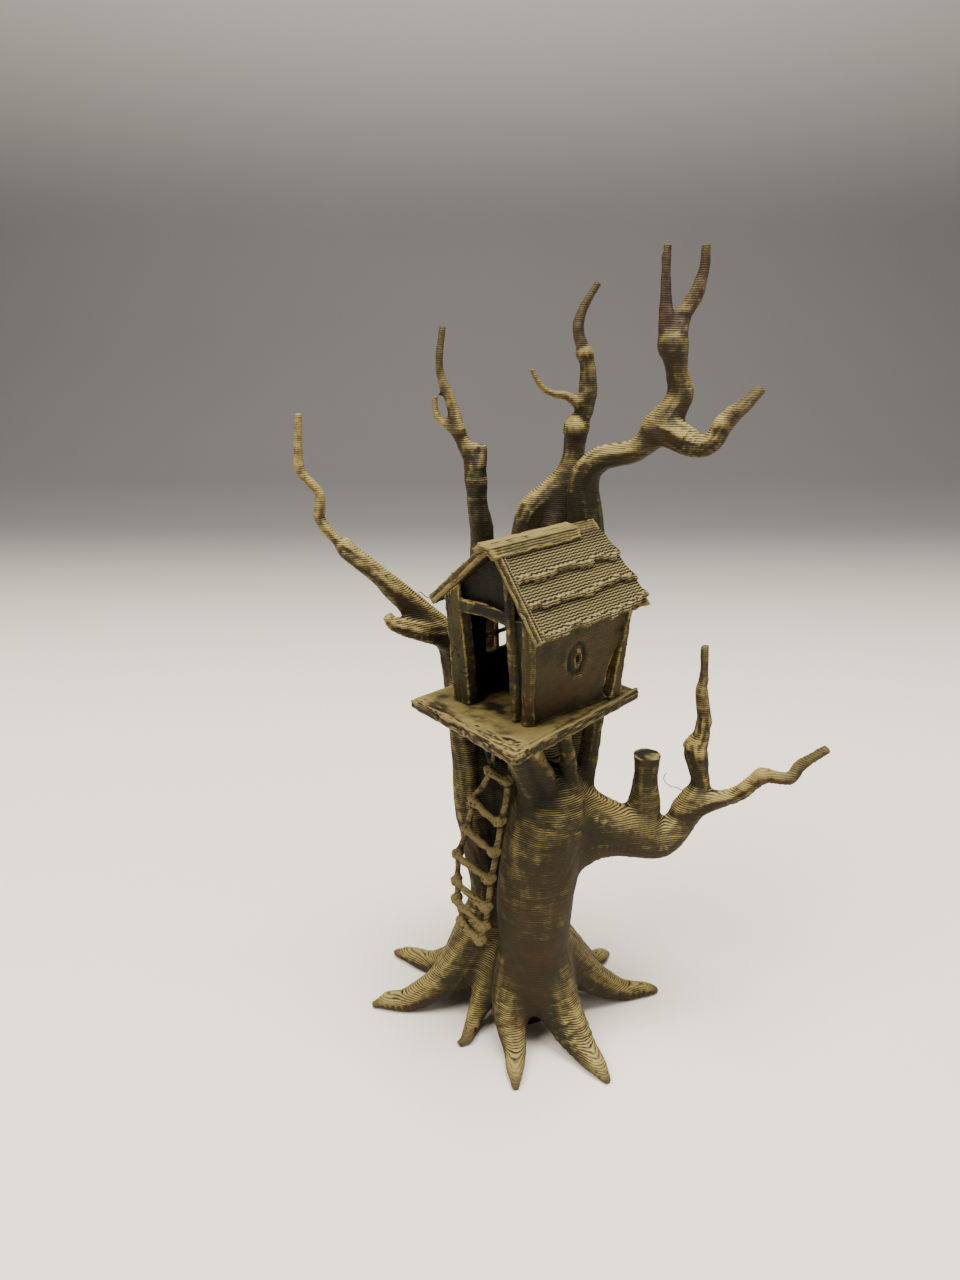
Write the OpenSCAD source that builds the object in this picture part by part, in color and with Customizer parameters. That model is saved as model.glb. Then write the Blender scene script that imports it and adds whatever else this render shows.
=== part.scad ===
// Small printed model of a gnarled tree with a tree house in its crown.
// Units are millimetres, +Z up, the front of the house faces -Y.
// The tree stands on its flat underside; the middle of that underside is the origin.

/* [Tree] */
// Height of the highest twig tip above the ground
tree_h = 105; // [84:1:126]
// Thickness of the crown limbs beside the drawn ones
limb_girth = 1; // [0.8:0.05:1.2]
// Thickness of the trunk strands and roots beside the drawn ones
trunk_girth = 1; // [0.85:0.05:1.2]

/* [Platform] */
// Height of the deck top above the ground
deck_z = 50; // [47:0.5:53]
// Width of the deck, left to right
deck_w = 20.5; // [17.5:0.1:21]
// Thickness of the deck boards
deck_t = 1.3; // [0.9:0.1:1.8]
// Thickness of the smaller layer of boards under the deck
under_t = 0.8; // [0.5:0.1:1.2]
// How far the lower layer stands in from the deck edge
under_inset = 1.2; // [0.6:0.1:2]
// Height of the raised rim along the deck edges
rim_h = 0.35; // [0.2:0.05:0.8]

/* [House] */
// Width of the house at the deck, left to right
house_w = 13.2; // [11:0.1:14]
// Length of the house at the deck, front to back
house_l = 15.4; // [12.8:0.1:16]
// Height of the right side wall
wall_h = 13.7; // [11.4:0.1:16.4]
// How much higher the left side wall stands
left_up = 1; // [0:0.1:1.4]
// Thickness of the walls
wall_t = 1; // [0.7:0.05:1.4]
// How far the walls lean outwards by the time they reach the eaves
flare = 1.4; // [0:0.1:1.7]
// Width of the doorway at the deck
door_w = 6.6; // [5.4:0.1:6.8]
// Height of the doorway
door_h = 12.9; // [11:0.1:13.2]
// Width of the flat post left of the door
post_w = 2.8; // [2:0.1:3]
// Width of the round post right of the door
door_post_d = 1.5; // [1.2:0.1:1.8]
// Width of the round posts at the corners
corner_d = 1.9; // [1.5:0.1:2.2]
// Side of the square window in the left wall
window_w = 4.6; // [4.2:0.1:5.4]
// Width of the bars crossing the window
bar_w = 0.6; // [0.4:0.05:0.9]

/* [Roof] */
// Height of the ridge above the top of the right wall
ridge_rise = 8.2; // [6.8:0.1:9.8]
// How far the roof stands out past the right wall
eave_out = 1.2; // [0.8:0.1:1.8]
// How far the roof stands out past the left wall
eave_left = 1.7; // [1:0.1:2.4]
// How far the roof stands out past the front wall
front_out = 1.7; // [1.2:0.1:2.4]
// How far the roof stands out past the back wall
back_out = 3; // [2:0.1:3.8]
// Thickness of the roof boards
roof_t = 0.7; // [0.5:0.05:1]
// Thickness of a row of tiles at its lower edge
tile_t = 0.6; // [0.4:0.05:0.8]
// Width of the cap along the ridge
cap_w = 2; // [1.4:0.1:2.6]

/* [Ladder] */
// Length of a ladder rung
rung_l = 6.4; // [5:0.1:7]
// Width of a ladder rung
rung_d = 0.9; // [0.6:0.05:1.1]

/* [Hidden] */
house_x = 1;
house_y = 0.8;
// the front wall and the right wall stand a little askew
front_turn = 4.5;
side_turn = 5.5;
hw = house_w / 2;
hl = house_l / 2;
left_h = wall_h + left_up;
ridge_x = 1.8;
ridge_z = wall_h + ridge_rise;
lean = flare / wall_h;
under_z = deck_z - deck_t - under_t;
tip_z = 105;
crown_z = 56;

// ---- limbs as tubes along smooth paths: each point is [x, y, z, radius] ----
function mix(a, b, c, d, t) = 0.5 * (2 * b + (c - a) * t + (2 * a - 5 * b + 4 * c - d) * t * t
    + (3 * b - 3 * c + d - a) * t * t * t);
function smooth(P, k) = concat([for (i = [0 : len(P) - 2]) for (j = [0 : k - 1])
    mix(P[max(i - 1, 0)], P[i], P[i + 1], P[min(i + 2, len(P) - 1)], j / k)], [P[len(P) - 1]]);
function xyz(p) = [p[0], p[1], p[2]];
function unit(v) = v / norm(v);
function way(Q, i) = unit(xyz(Q[min(i + 1, len(Q) - 1)]) - xyz(Q[max(i - 1, 0)]));
function side_a(t) = [1 - t[0] * t[0] / (1 + t[2]), -t[0] * t[1] / (1 + t[2]), -t[0]];
function side_b(t) = [-t[0] * t[1] / (1 + t[2]), 1 - t[1] * t[1] / (1 + t[2]), -t[1]];
function ring(Q, i, n, g) = [for (a = [0 : n - 1]) xyz(Q[i]) + g * Q[i][3]
    * (side_a(way(Q, i)) * cos(360 * a / n) + side_b(way(Q, i)) * sin(360 * a / n))];
// the crown stretches with the height of the tree, everything below it stays
function lift(P) = [for (p = P) [p[0], p[1],
    p[2] < crown_z ? p[2] : crown_z + (p[2] - crown_z) * (tree_h - crown_z) / (tip_z - crown_z), p[3]]];

module link(A, B) {
    n = len(A);
    hull() polyhedron(points = concat(A, B), faces = concat(
        [[for (i = [0 : n - 1]) i], [for (i = [0 : n - 1]) 2 * n - 1 - i]],
        [for (i = [0 : n - 1]) [i, n + i, n + (i + 1) % n, (i + 1) % n]]));
}

// tube from control point a to control point b of the path
module tube(P, a, b, n, g) {
    k = 3;
    Q = smooth(P, k);
    for (i = [a * k : b * k - 1])
        link(ring(Q, i, n, g), ring(Q, i + 1, n, g));
}

// ---- trunk strands ----
core = [[0, 0, -2, 5], [0, 0, 8, 5.2], [-0.5, 0.5, 20, 5.6], [0, 1, 31, 6.6], [0, 1.5, 37, 6.2],
    [0, 2, 41, 4]];
front = [[4.4, -2.6, 7.6, 3.2], [4.8, -2.8, 13, 4.6], [4.6, -2.8, 20, 5.1], [4.8, -1.5, 28, 5.5],
    [4.8, 0, 34, 5.1], [4.6, 1, 38.5, 3]];
web = [[-4, -0.5, 16, 2.6], [-4.6, -0.6, 26, 3.2], [-5.2, -0.4, 34, 3], [-5.6, -0.2, 40, 1.9], [-5.8, 0, 44, 1]];
back = [[-2, 4, 2, 3.4], [-2.5, 4, 11, 4.6], [-2.5, 4, 20, 5.2], [-3, 5, 32, 6], [-4, 6, 40, 4.6]];

// ---- limbs ----
limb_left_p = lift([[-4.8, -3.4, 7, 2.4], [-5.5, -4, 13, 3.2], [-5.6, -3.8, 20, 3.1], [-7.2, -4.8, 31, 2.8],
    [-9.4, -3.6, 39, 2.3], [-11.8, -1.8, 46.4, 2], [-12.6, -1.4, 51, 1.9], [-12.8, -2.4, 55, 1.9],
    [-14.4, -6.3, 59.6, 1.8], [-15.2, -10.2, 63.8, 1.35], [-18.6, -15, 69.6, 1.1],
    [-20.6, -17.2, 73, 0.75], [-22.2, -18.8, 81, 0.6], [-22, -18.4, 86.6, 0.45]]);
spur_p = lift([[-13.2, -4.6, 56.6, 1.5], [-13.2, -7.6, 57.5, 1.3], [-14.3, -10.5, 58.9, 1],
    [-15, -11.5, 60.6, 0.6]]);
limb_mid_p = lift([[-4, 3, 33, 4], [-9, 4, 42, 2.7], [-12.4, 4.5, 49, 2.3], [-12.6, 4, 58, 2.1],
    [-10.2, 1.6, 69, 1.8], [-9.9, 0.3, 74, 1.35], [-9.9, -0.1, 79, 1.1], [-11.1, -1.4, 82.7, 0.8],
    [-12, -2.3, 87.5, 0.65], [-13, -3.3, 91.4, 0.5], [-12.6, -2.9, 96.4, 0.4]]);
mid_stub_p = lift([[-9.9, -0.1, 77.6, 1], [-9.4, 0.2, 80.4, 0.75], [-9.3, 0.3, 82, 0.55]]);
mid_twig_p = lift([[-11.7, -2, 84.4, 0.5], [-12.9, -3, 86, 0.42], [-13, -3.2, 88, 0.35]]);
limb_rear_p = lift([[-4, 6, 33, 4], [-8.6, 10.8, 42, 2.6], [-11.5, 13.5, 49, 2.3], [-12.6, 12.6, 60, 2.1],
    [-11.5, 11.8, 70.2, 1.9], [-9.4, 14, 74, 1.7], [-7.5, 15.9, 77.3, 1.4], [-7.1, 16.4, 82.4, 1.7],
    [-6.1, 17.4, 86.8, 1.2], [-6.2, 17.3, 91.7, 1.05], [-7.2, 16.3, 95.7, 0.85], [-5.4, 18.2, 101.5, 0.45]]);
rear_twig_p = lift([[-6.6, 15.8, 85.4, 0.6], [-8.4, 13.6, 87.1, 0.55], [-9.5, 12.5, 88.4, 0.45],
    [-10.9, 11, 91.1, 0.35]]);
limb_right_p = lift([[-1, 7, 32, 4.5], [-2.2, 12.8, 42, 3], [-3.5, 16.4, 50, 2.8], [-3.8, 16.6, 60, 2.7],
    [-3.9, 15.5, 70, 2.5], [-3.6, 14.5, 76, 2.1], [-1.2, 14.6, 79.4, 1.7], [3.5, 16.5, 81, 1.55],
    [6.3, 18.1, 84.9, 1.75], [7.5, 19.3, 88, 1.5], [6.8, 18.6, 94, 1.1], [6.2, 18, 97.3, 0.95]]);
side_branch_p = lift([[5.4, 17.6, 84, 1.4], [8.6, 18, 83, 1.4], [11, 18.6, 82, 1.2], [13.2, 19.4, 83.4, 0.95],
    [15.8, 20.7, 86.8, 0.75], [17.4, 22.4, 89.6, 0.55]]);
prong_out_p = lift([[6.2, 18, 96.6, 0.8], [7, 18.8, 98.4, 0.8], [8, 19.8, 100.2, 0.7], [8.8, 20.7, 105, 0.45]]);
prong_in_p = lift([[6.2, 18, 96.6, 0.8], [5.8, 17.5, 99.2, 0.65], [5.7, 17.3, 102, 0.6], [5.6, 17.3, 104.8, 0.45]]);
limb_low_p = [[2.5, 1, 27, 5], [7, 4.6, 29.6, 3.6], [9.6, 7, 30, 3], [12.2, 9.8, 29.4, 2.5],
    [14.4, 12, 28.9, 2.15], [15.6, 14.6, 31.4, 2], [16.6, 15.8, 35, 1.6]];
twig_up_p = [[16.4, 15.6, 34, 1.4], [17.3, 16.4, 37.6, 1.3], [16.6, 15.8, 42.6, 1.5], [17, 16.2, 46, 1],
    [16.6, 15.7, 51, 0.85], [16.5, 15.7, 57.4, 0.5]];
twig_out_p = [[16, 15, 33.4, 1.4], [18.9, 16.4, 35.2, 1.3], [21.3, 17.8, 36.5, 1.1], [23.5, 18.6, 38.8, 1],
    [25.4, 20, 40.3, 0.9], [27.5, 21.3, 40.3, 0.85], [28.4, 22.2, 42.2, 0.75], [31.2, 23.6, 45.4, 0.6]];
stump_p = [[12, 10.4, 29.6, 2.4], [12, 11, 33.4, 2.3], [12, 11, 38.4, 1.6], [12, 11, 42, 1.9]];

// ---- roots ----
roots = [
    [[-5, 1, 11, 2.8], [-8.4, 2.6, 5, 2.4], [-12.6, 3.8, 1.6, 1.7], [-18.4, 5, 0.5, 0.6]],
    [[-5.6, -2.8, 12, 3], [-9, -3.4, 5.6, 2.6], [-14, -5, 1.8, 1.8], [-21, -7, 0.5, 0.6]],
    [[-5, -4.4, 12, 3], [-6.8, -8.2, 5.8, 2.6], [-10.6, -13, 1.8, 1.9], [-14, -16.6, 0.5, 0.7]],
    [[-1, -4.2, 9, 2], [-0.8, -7.8, 4, 1.4], [0, -10.4, 1.2, 1.1], [0.1, -13.2, 0.5, 0.6]],
    [[3.4, -4.4, 12, 3], [4.6, -7.2, 5.4, 2.3], [8, -9.6, 1.6, 1.6], [11.4, -13.2, 0.4, 0.7]],
    [[5.4, -2.4, 13, 3.6], [9, -2, 6, 3], [13.6, -2.2, 2, 2.1], [19, -3.3, 0.5, 0.6]],
    [[4.4, 1.6, 12, 3.2], [7, 6.4, 5.4, 2.5], [9.8, 11, 1.6, 1.6], [13, 16, 0.5, 0.7]],
    [[0.6, 4.6, 11, 3], [1.6, 9.8, 4.6, 2.2], [2.2, 13, 1.4, 1.5], [2.6, 17, 0.6, 1]],
    [[-3.6, 5, 11, 3], [-6.2, 9.4, 4.8, 2.3], [-9, 12.2, 1.4, 1.6], [-12, 14.8, 0.6, 0.9]]];

// ---- struts between the trunk and the deck: foot, collar, head ----
struts = [
    [[3, -2.4, 34, 1.7], [4.6, -4.4, 39.4, 1.5], [7, -10, 49, 1.3]],
    [[4, -1, 34, 1.5], [6.4, -2.2, 40, 1.2], [8.6, -6.8, 49, 1.1]],
    [[5, 1.6, 34, 1.5], [6.8, 1.4, 39.6, 1.1], [8.4, -1.4, 49, 1]],
    [[5, 4.4, 33, 1.9], [6.2, 5.2, 39, 1.3], [7.4, 5.2, 49, 1.3]],
    [[-0.6, -2.6, 38, 1.4], [-2.4, -4.4, 42.4, 0.9], [-6.4, -5.6, 49, 0.8]]];

// everything under the flat underside of the tree
module underground() {
    translate([-40, -40, -20])
        cube([80, 80, 20]);
}

// everything above the underside of the lower deck boards
module over_deck() {
    translate([-20, -20, under_z])
        cube([40, 40, 6]);
}

module trunk_mass() {
    tube(core, 0, 5, 14, trunk_girth);
    tube(front, 0, 5, 14, trunk_girth);
    tube(back, 0, 4, 14, trunk_girth);
    tube(web, 0, 4, 10, trunk_girth);
    tube(limb_left_p, 0, 4, 12, trunk_girth);
    tube(limb_mid_p, 0, 1, 12, trunk_girth);
    tube(limb_rear_p, 0, 1, 12, trunk_girth);
    tube(limb_right_p, 0, 1, 12, trunk_girth);
    tube(limb_low_p, 0, 2, 12, trunk_girth);
    for (s = struts)
        tube(s, 0, 1, 8, 1);
    for (r = roots)
        tube(r, 0, 1, 10, trunk_girth);
}

module trunk() {
    color("tan")
    difference() {
        trunk_mass();
        underground();
    }
}

// roots numbered from one to another
module root_group(from, to) {
    color("tan")
    difference() {
        for (i = [from : to])
            tube(roots[i], 1, 3, 10, trunk_girth);
        underground();
    }
}

module strut(i) {
    color("tan")
    difference() {
        tube(struts[i], 1, 2, 8, 1);
        over_deck();
    }
}

module limb_left() {
    color("tan") {
        tube(limb_left_p, 4, 13, 10, limb_girth);
        tube(spur_p, 0, 3, 10, limb_girth);
    }
}

module limb_mid() {
    color("tan") {
        tube(limb_mid_p, 1, 10, 10, limb_girth);
        tube(mid_stub_p, 0, 2, 8, limb_girth);
        tube(mid_twig_p, 0, 2, 8, limb_girth);
    }
}

module limb_rear() {
    color("tan") {
        tube(limb_rear_p, 1, 11, 10, limb_girth);
        tube(rear_twig_p, 0, 3, 8, limb_girth);
    }
}

module limb_right() {
    color("tan") {
        tube(limb_right_p, 1, 11, 10, limb_girth);
        tube(side_branch_p, 0, 1, 8, limb_girth);
        tube(prong_out_p, 0, 3, 8, limb_girth);
        tube(prong_in_p, 0, 3, 8, limb_girth);
    }
}

module side_branch() {
    color("tan")
    tube(side_branch_p, 1, 5, 8, limb_girth);
}

module limb_low() {
    color("tan") {
        tube(limb_low_p, 2, 6, 12, trunk_girth);
        tube(twig_up_p, 0, 1, 10, trunk_girth);
        tube(twig_out_p, 0, 1, 10, trunk_girth);
        tube(stump_p, 0, 1, 12, trunk_girth);
    }
}

module stump() {
    color("tan")
    tube(stump_p, 1, 3, 12, trunk_girth);
}

module twig_up() {
    color("tan")
    tube(twig_up_p, 1, 5, 10, trunk_girth);
}

module twig_out() {
    color("tan")
    tube(twig_out_p, 1, 7, 10, trunk_girth);
}

// ---- platform ----
// plan of the boards, every side stepped in by e
function plan(e, yb) = [[0.55 - deck_w / 2 + e, -12 + e], [11.4 - deck_t / 4 - e, -14.3 + e * 1.2],
    [11.4 - e, -13.4 + e], [9.3 - e, yb], [0.55 - deck_w / 2 + e, yb]];

// what lies inside the rim, which runs along the front and the right edge only
rim_plan = [[-30, -12 + 0.7], [11.4 - deck_t / 4 - 0.7, -14.3 + 1.5], [10.7, -12.7], [8.6, 12], [8.6, 30], [-30, 30]];

module deck() {
    color("peru")
    translate([0, 0, deck_z - deck_t])
        difference() {
            linear_extrude(deck_t + rim_h)
                polygon(plan(0, 12));
            translate([0, 0, deck_t])
                linear_extrude(5)
                    polygon(rim_plan);
        }
}

module under_boards() {
    color("sienna")
    translate([0, 0, under_z])
        linear_extrude(under_t)
            polygon(plan(under_inset, 7));
}

// ---- house, in its own place: x and y from the middle of the floor, z from the deck ----
module placed() {
    translate([house_x, house_y, deck_z])
        children();
}

// outline [x, z] carried along y
module along_y(P, y0, y1) {
    translate([0, y1, 0])
        rotate([90, 0, 0])
            linear_extrude(y1 - y0)
                polygon(P);
}

// outline [y, z] carried along x
module along_x(P, x0, x1) {
    translate([x0, 0, 0])
        rotate([90, 0, 90])
            linear_extrude(x1 - x0)
                polygon(P);
}

// a strip from a to b at the floor, leaning by s per unit of height
function strip(a, b, s) = [[a, 0], [b, 0], [b + s * 30, 30], [a + s * 30, 30]];
function right_z(x) = wall_h + ridge_rise * (hw + flare - x) / (hw + flare - ridge_x);
left_run = ridge_x + hw;
function left_z(x) = ridge_z - (ridge_z - left_h) * (ridge_x - x) / left_run;

// the space under the roof boards
module under_roof() {
    along_y([[-13, -1], [12, -1], [12, right_z(12)], [ridge_x, ridge_z], [-13, left_z(-13)]], -20, 20);
}

// slabs of the front, right and left walls: from depth a to depth b, counted inwards from the outer face
module front_slab(a, b) {
    translate([0, -hl, 0])
        rotate([0, 0, front_turn])
            along_x(strip(a, b, -lean), -20, 20);
}

module right_slab(a, b) {
    translate([hw, 0, 0])
        rotate([0, 0, -side_turn])
            along_y(strip(-b, -a, lean), -20, 20);
}

module left_slab(a, b) {
    along_y(strip(a - hw, b - hw, 0), -20, 20);
}

// a block from height a to height b
module layer(a, b) {
    translate([-20, -20, a])
        cube([40, 40, b - a]);
}

door_x = post_w - hw;
top_z = door_h + 0.6;

module wall_front() {
    color("wheat")
    placed()
    difference() {
        intersection() {
            front_slab(0, wall_t);
            under_roof();
            layer(0, top_z);
        }
        right_slab(-20, wall_t);
        left_slab(-20, wall_t);
        translate([door_x, -20, -1])
            cube([door_w, 40, door_h + 1]);
    }
}

module gable_front() {
    color("burlywood")
    placed()
    difference() {
        intersection() {
            front_slab(0.4, wall_t);
            under_roof();
            layer(top_z, 40);
        }
        right_slab(-20, wall_t);
        left_slab(-20, wall_t);
    }
}

module wall_back() {
    color("wheat")
    placed()
    difference() {
        intersection() {
            along_x(strip(hl - wall_t, hl, 0), -20, 20);
            under_roof();
        }
        right_slab(-20, wall_t);
        left_slab(-20, wall_t);
    }
}

// right wall, torn open beside the back post
module wall_right() {
    color("wheat")
    placed()
    difference() {
        intersection() {
            right_slab(0, wall_t);
            under_roof();
        }
        front_slab(-20, 0);
        translate([-20, hl, -1])
            cube([40, 20, 40]);
        along_x([[hl - 2.2, 0.4], [hl - 1.5, 4], [hl - 1, 8.2], [hl - 1.8, 6.6], [hl - 2.7, 4], [hl - 2.7, 1.2]], 0, 20);
    }
}

window_y = -1.6;
window_z = 7.8;

module wall_left() {
    color("wheat")
    placed()
    difference() {
        intersection() {
            left_slab(0, wall_t);
            under_roof();
        }
        front_slab(-20, 0);
        translate([-20, hl, -1])
            cube([40, 20, 40]);
        translate([-20, window_y - window_w / 2, window_z - window_w / 2])
            cube([20, window_w, window_w]);
    }
}

// two bars crossing in the window
module window_bars() {
    color("peru")
    placed()
    intersection() {
        left_slab(0.25, wall_t - 0.25);
        union() {
            translate([-20, window_y - bar_w / 2, window_z - window_w / 2])
                cube([20, bar_w, window_w]);
            translate([-20, window_y - window_w / 2, window_z - bar_w / 2])
                cube([20, window_w, bar_w]);
        }
    }
}

module knot_ring() {
    color("peru")
    placed()
    difference() {
        intersection() {
            right_slab(-0.35, 0);
            along_x([[-1.6, 7.5], [-1.2, 6.3], [-0.6, 6.2], [-0.1, 7.5], [-0.5, 8.7], [-1.1, 8.9]], 0, 20);
        }
        along_x([[-1.2, 7.6], [-1, 6.8], [-0.7, 6.8], [-0.5, 7.5], [-0.7, 8.2], [-1, 8.3]], 0, 20);
    }
}

// ---- posts and lintel of the house ----
module post_flat() {
    color("burlywood")
    placed()
    intersection() {
        front_slab(-0.7, 0);
        along_y([[-hw, 0], [door_x, 0], [door_x - 0.3, 20], [-hw, 20]], -20, 20);
        under_roof();
    }
}

// round post on the front wall at x, leaning with it
module round_post(x, d, out) {
    difference() {
        intersection() {
            translate([x, x * tan(front_turn) - hl, 0])
                rotate([atan(lean), atan(out), 0])
                    translate([0, 0, -2])
                        cylinder(h = 30, d = d, $fn = 40);
            layer(0, 40);
            under_roof();
        }
        front_slab(0, 20);
    }
}

module post_door() {
    color("burlywood")
    placed()
    round_post(door_x + door_w + door_post_d / 2, door_post_d, 0);
}

module post_corner_front() {
    color("burlywood")
    placed()
    round_post(hw - 1.25, corner_d, lean * 0.8);
}

module post_corner_back() {
    color("burlywood")
    placed()
    intersection() {
        right_slab(-0.5, 0);
        along_x([[hl - 2.1, 0], [hl, 0], [hl, 20], [hl - 1.1, 6.8]], 0, 20);
        under_roof();
    }
}

module lintel() {
    color("burlywood")
    placed()
    intersection() {
        front_slab(-0.5, 0);
        along_y([[door_x - 0.15, door_h], [door_x + door_w * 0.5, door_h + 0.2], [door_x + door_w, door_h - 0.2],
            [door_x + door_w, door_h + 1.5], [door_x + door_w * 0.5, door_h + 2], [door_x - 0.15, door_h + 1.8]],
            -20, 20);
    }
}

// ---- roof ----
// right and left slope: s runs down from the ridge, h stands up from the underside
slope_r = atan(ridge_rise / (hw + flare - ridge_x));
slope_l = atan((ridge_z - left_h) / left_run);
function on_right(s, h) = [ridge_x + s * cos(slope_r) + h * sin(slope_r),
    ridge_z - s * sin(slope_r) + h * cos(slope_r)];
function on_left(s, h) = [ridge_x - s * cos(slope_l) - h * sin(slope_l),
    ridge_z - s * sin(slope_l) + h * cos(slope_l)];
len_r = (hw + flare + eave_out - ridge_x) / cos(slope_r);
len_l = (left_run + eave_left) / cos(slope_l);
front_y = -hl - flare - front_out;
back_y = hl + back_out;

// the plan of the roof: the ridge is shorter than the eaves at the back
module roof_plan(e) {
    translate([0, 0, -5])
        linear_extrude(50)
            polygon([[-20, front_y + e], [20, front_y + e], [20, back_y + 3 - e],
                [hw + flare + eave_out, back_y - e], [ridge_x, hl + 0.3 - e],
                [ridge_x - left_run - eave_left, back_y - e], [-20, back_y + 3 - e]]);
}

module roof_right() {
    color("tan")
    placed()
    intersection() {
        along_y([[ridge_x, ridge_z], on_right(len_r, 0), on_right(len_r, roof_t),
            [ridge_x, ridge_z + roof_t / cos(slope_r)]], -20, 20);
        roof_plan(0);
    }
}

module roof_left() {
    color("tan")
    placed()
    intersection() {
        along_y([[ridge_x, ridge_z], on_left(len_l, 0), on_left(len_l, roof_t),
            [ridge_x, ridge_z + roof_t / cos(slope_l)]], -20, 20);
        roof_plan(0);
    }
}

// one row of tiles, k counted down from the ridge
module tiles_right(k) {
    run = (len_r - 0.8 - cap_w) / 3;
    color("olive")
    placed()
    intersection() {
        along_y([on_right(cap_w + k * run, roof_t), on_right(cap_w + (k + 1) * run, roof_t),
            on_right(cap_w + (k + 1) * run, roof_t + tile_t), on_right(cap_w + k * run, roof_t + 0.25)], -20, 20);
        roof_plan(0.3);
    }
}

module tiles_left(k) {
    run = (len_l - 0.8 - cap_w) / 3;
    color("olive")
    placed()
    intersection() {
        along_y([on_left(cap_w + k * run, roof_t), on_left(cap_w + (k + 1) * run, roof_t),
            on_left(cap_w + (k + 1) * run, roof_t + tile_t), on_left(cap_w + k * run, roof_t + 0.25)], -20, 20);
        roof_plan(0.3);
    }
}

// cap along the ridge, broken off before the back
module ridge_cap() {
    color("olive")
    placed()
    difference() {
        along_y([on_right(cap_w, roof_t), on_right(cap_w, roof_t + 0.5), [ridge_x, ridge_z + 1.9],
            on_left(cap_w, roof_t + 0.5), on_left(cap_w, roof_t)], front_y - 0.9, 3.6);
        along_y([[ridge_x - 9, ridge_z - 20], on_right(20, roof_t), [ridge_x, ridge_z + roof_t / cos(slope_r)],
            [ridge_x, ridge_z + roof_t / cos(slope_l)], on_left(20, roof_t)], -20, 20);
    }
}

// ---- ladder ----
// height, length and middle of each rung
rung_list = [[41, 4.6, 1.2], [35.4, 5.6, -0.3], [31.3, 6.6, -0.6], [27.3, 7.6, -1.2],
    [23.6, 7.6, -0.8], [21, 7, -0.6], [18.6, 5, 0.2]];
rope_d = 0.7;
function ladder_y(z) = -6.3 - (41 - z) * 0.175;

module ladder_rungs() {
    color("sienna")
    for (r = rung_list)
        translate([r[2] - r[1] * rung_l / 12.8, ladder_y(r[0]) - rung_d / 2, r[0]])
            rotate([0, 90, 0])
                cylinder(h = r[1] * rung_l / 6.4, d = rung_d, $fn = 24);
}

module rope(side) {
    P = concat([[1.2 + side * 1.4, ladder_y(under_z + 1), under_z + 1]],
        [for (r = rung_list) [r[2] + side * (r[1] * rung_l / 12.8 - 0.7), ladder_y(r[0]) + rope_d * 0.45, r[0]]],
        [[side * 1.4, ladder_y(18.6) + 2, 15.6]]);
    for (i = [0 : len(P) - 2])
        hull() {
            translate(P[i])
                cube(rope_d, center = true);
            translate(P[i + 1])
                cube(rope_d, center = true);
        }
}

module ladder_ropes() {
    color("sienna")
    difference() {
        union() {
            rope(-1);
            rope(1);
        }
        over_deck();
        for (r = rung_list)
            translate([-10, ladder_y(r[0]) - rung_d, r[0] - rung_d / 2])
                cube([20, rung_d, rung_d]);
    }
}

trunk();
root_group(0, 2);  // roots_left
root_group(3, 5);  // roots_front
root_group(6, 8);  // roots_back
limb_left();
limb_mid();
limb_rear();
limb_right();
side_branch();
limb_low();
stump();
twig_up();
twig_out();
strut(0);  // strut_1
strut(1);  // strut_2
strut(2);  // strut_3
strut(3);  // strut_4
strut(4);  // strut_5
deck();
under_boards();
wall_front();
gable_front();
wall_back();
wall_left();
wall_right();
window_bars();
knot_ring();
post_flat();
post_door();
post_corner_front();
post_corner_back();
lintel();
roof_left();
roof_right();
tiles_left(0);  // tiles_left_1
tiles_left(1);  // tiles_left_2
tiles_left(2);  // tiles_left_3
tiles_right(0);  // tiles_right_1
tiles_right(1);  // tiles_right_2
tiles_right(2);  // tiles_right_3
ridge_cap();
ladder_ropes();
ladder_rungs();
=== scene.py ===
"""Small printed and painted model of a tree house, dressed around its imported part.

Every length in the classes is in millimetres; meshes are written in metres, in the part's own frame.
"""

import logging
from dataclasses import dataclass, field
from enum import Enum
from typing import Iterable, Sequence

import bpy
import numpy as np
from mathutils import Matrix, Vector


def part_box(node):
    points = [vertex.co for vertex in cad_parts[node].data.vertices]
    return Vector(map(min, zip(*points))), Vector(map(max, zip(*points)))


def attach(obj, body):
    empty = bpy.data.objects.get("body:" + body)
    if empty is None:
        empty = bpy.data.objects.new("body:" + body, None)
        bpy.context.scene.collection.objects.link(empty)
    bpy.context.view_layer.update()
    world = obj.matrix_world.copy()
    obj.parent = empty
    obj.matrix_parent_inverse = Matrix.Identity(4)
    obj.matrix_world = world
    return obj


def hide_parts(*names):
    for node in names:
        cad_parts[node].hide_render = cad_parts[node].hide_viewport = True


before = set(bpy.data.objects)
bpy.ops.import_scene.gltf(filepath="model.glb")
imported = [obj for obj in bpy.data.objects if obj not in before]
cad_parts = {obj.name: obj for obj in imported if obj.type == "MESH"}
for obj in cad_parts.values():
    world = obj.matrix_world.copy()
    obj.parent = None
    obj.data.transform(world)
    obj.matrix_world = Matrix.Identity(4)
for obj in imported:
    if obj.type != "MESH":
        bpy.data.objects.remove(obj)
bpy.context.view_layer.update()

LOG = logging.getLogger("tree_house")
MM = 0.001
PER_MM = 1000.0
Array = np.ndarray
Socket = bpy.types.NodeSocket
Color = tuple[float, float, float]
# The level directions that the camera has to its right and ahead of it.
ACROSS = (0.6947, 0.7193)
AHEAD = (-0.7193, 0.6947)


# ---------------------------------------------------------------- random relief


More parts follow.
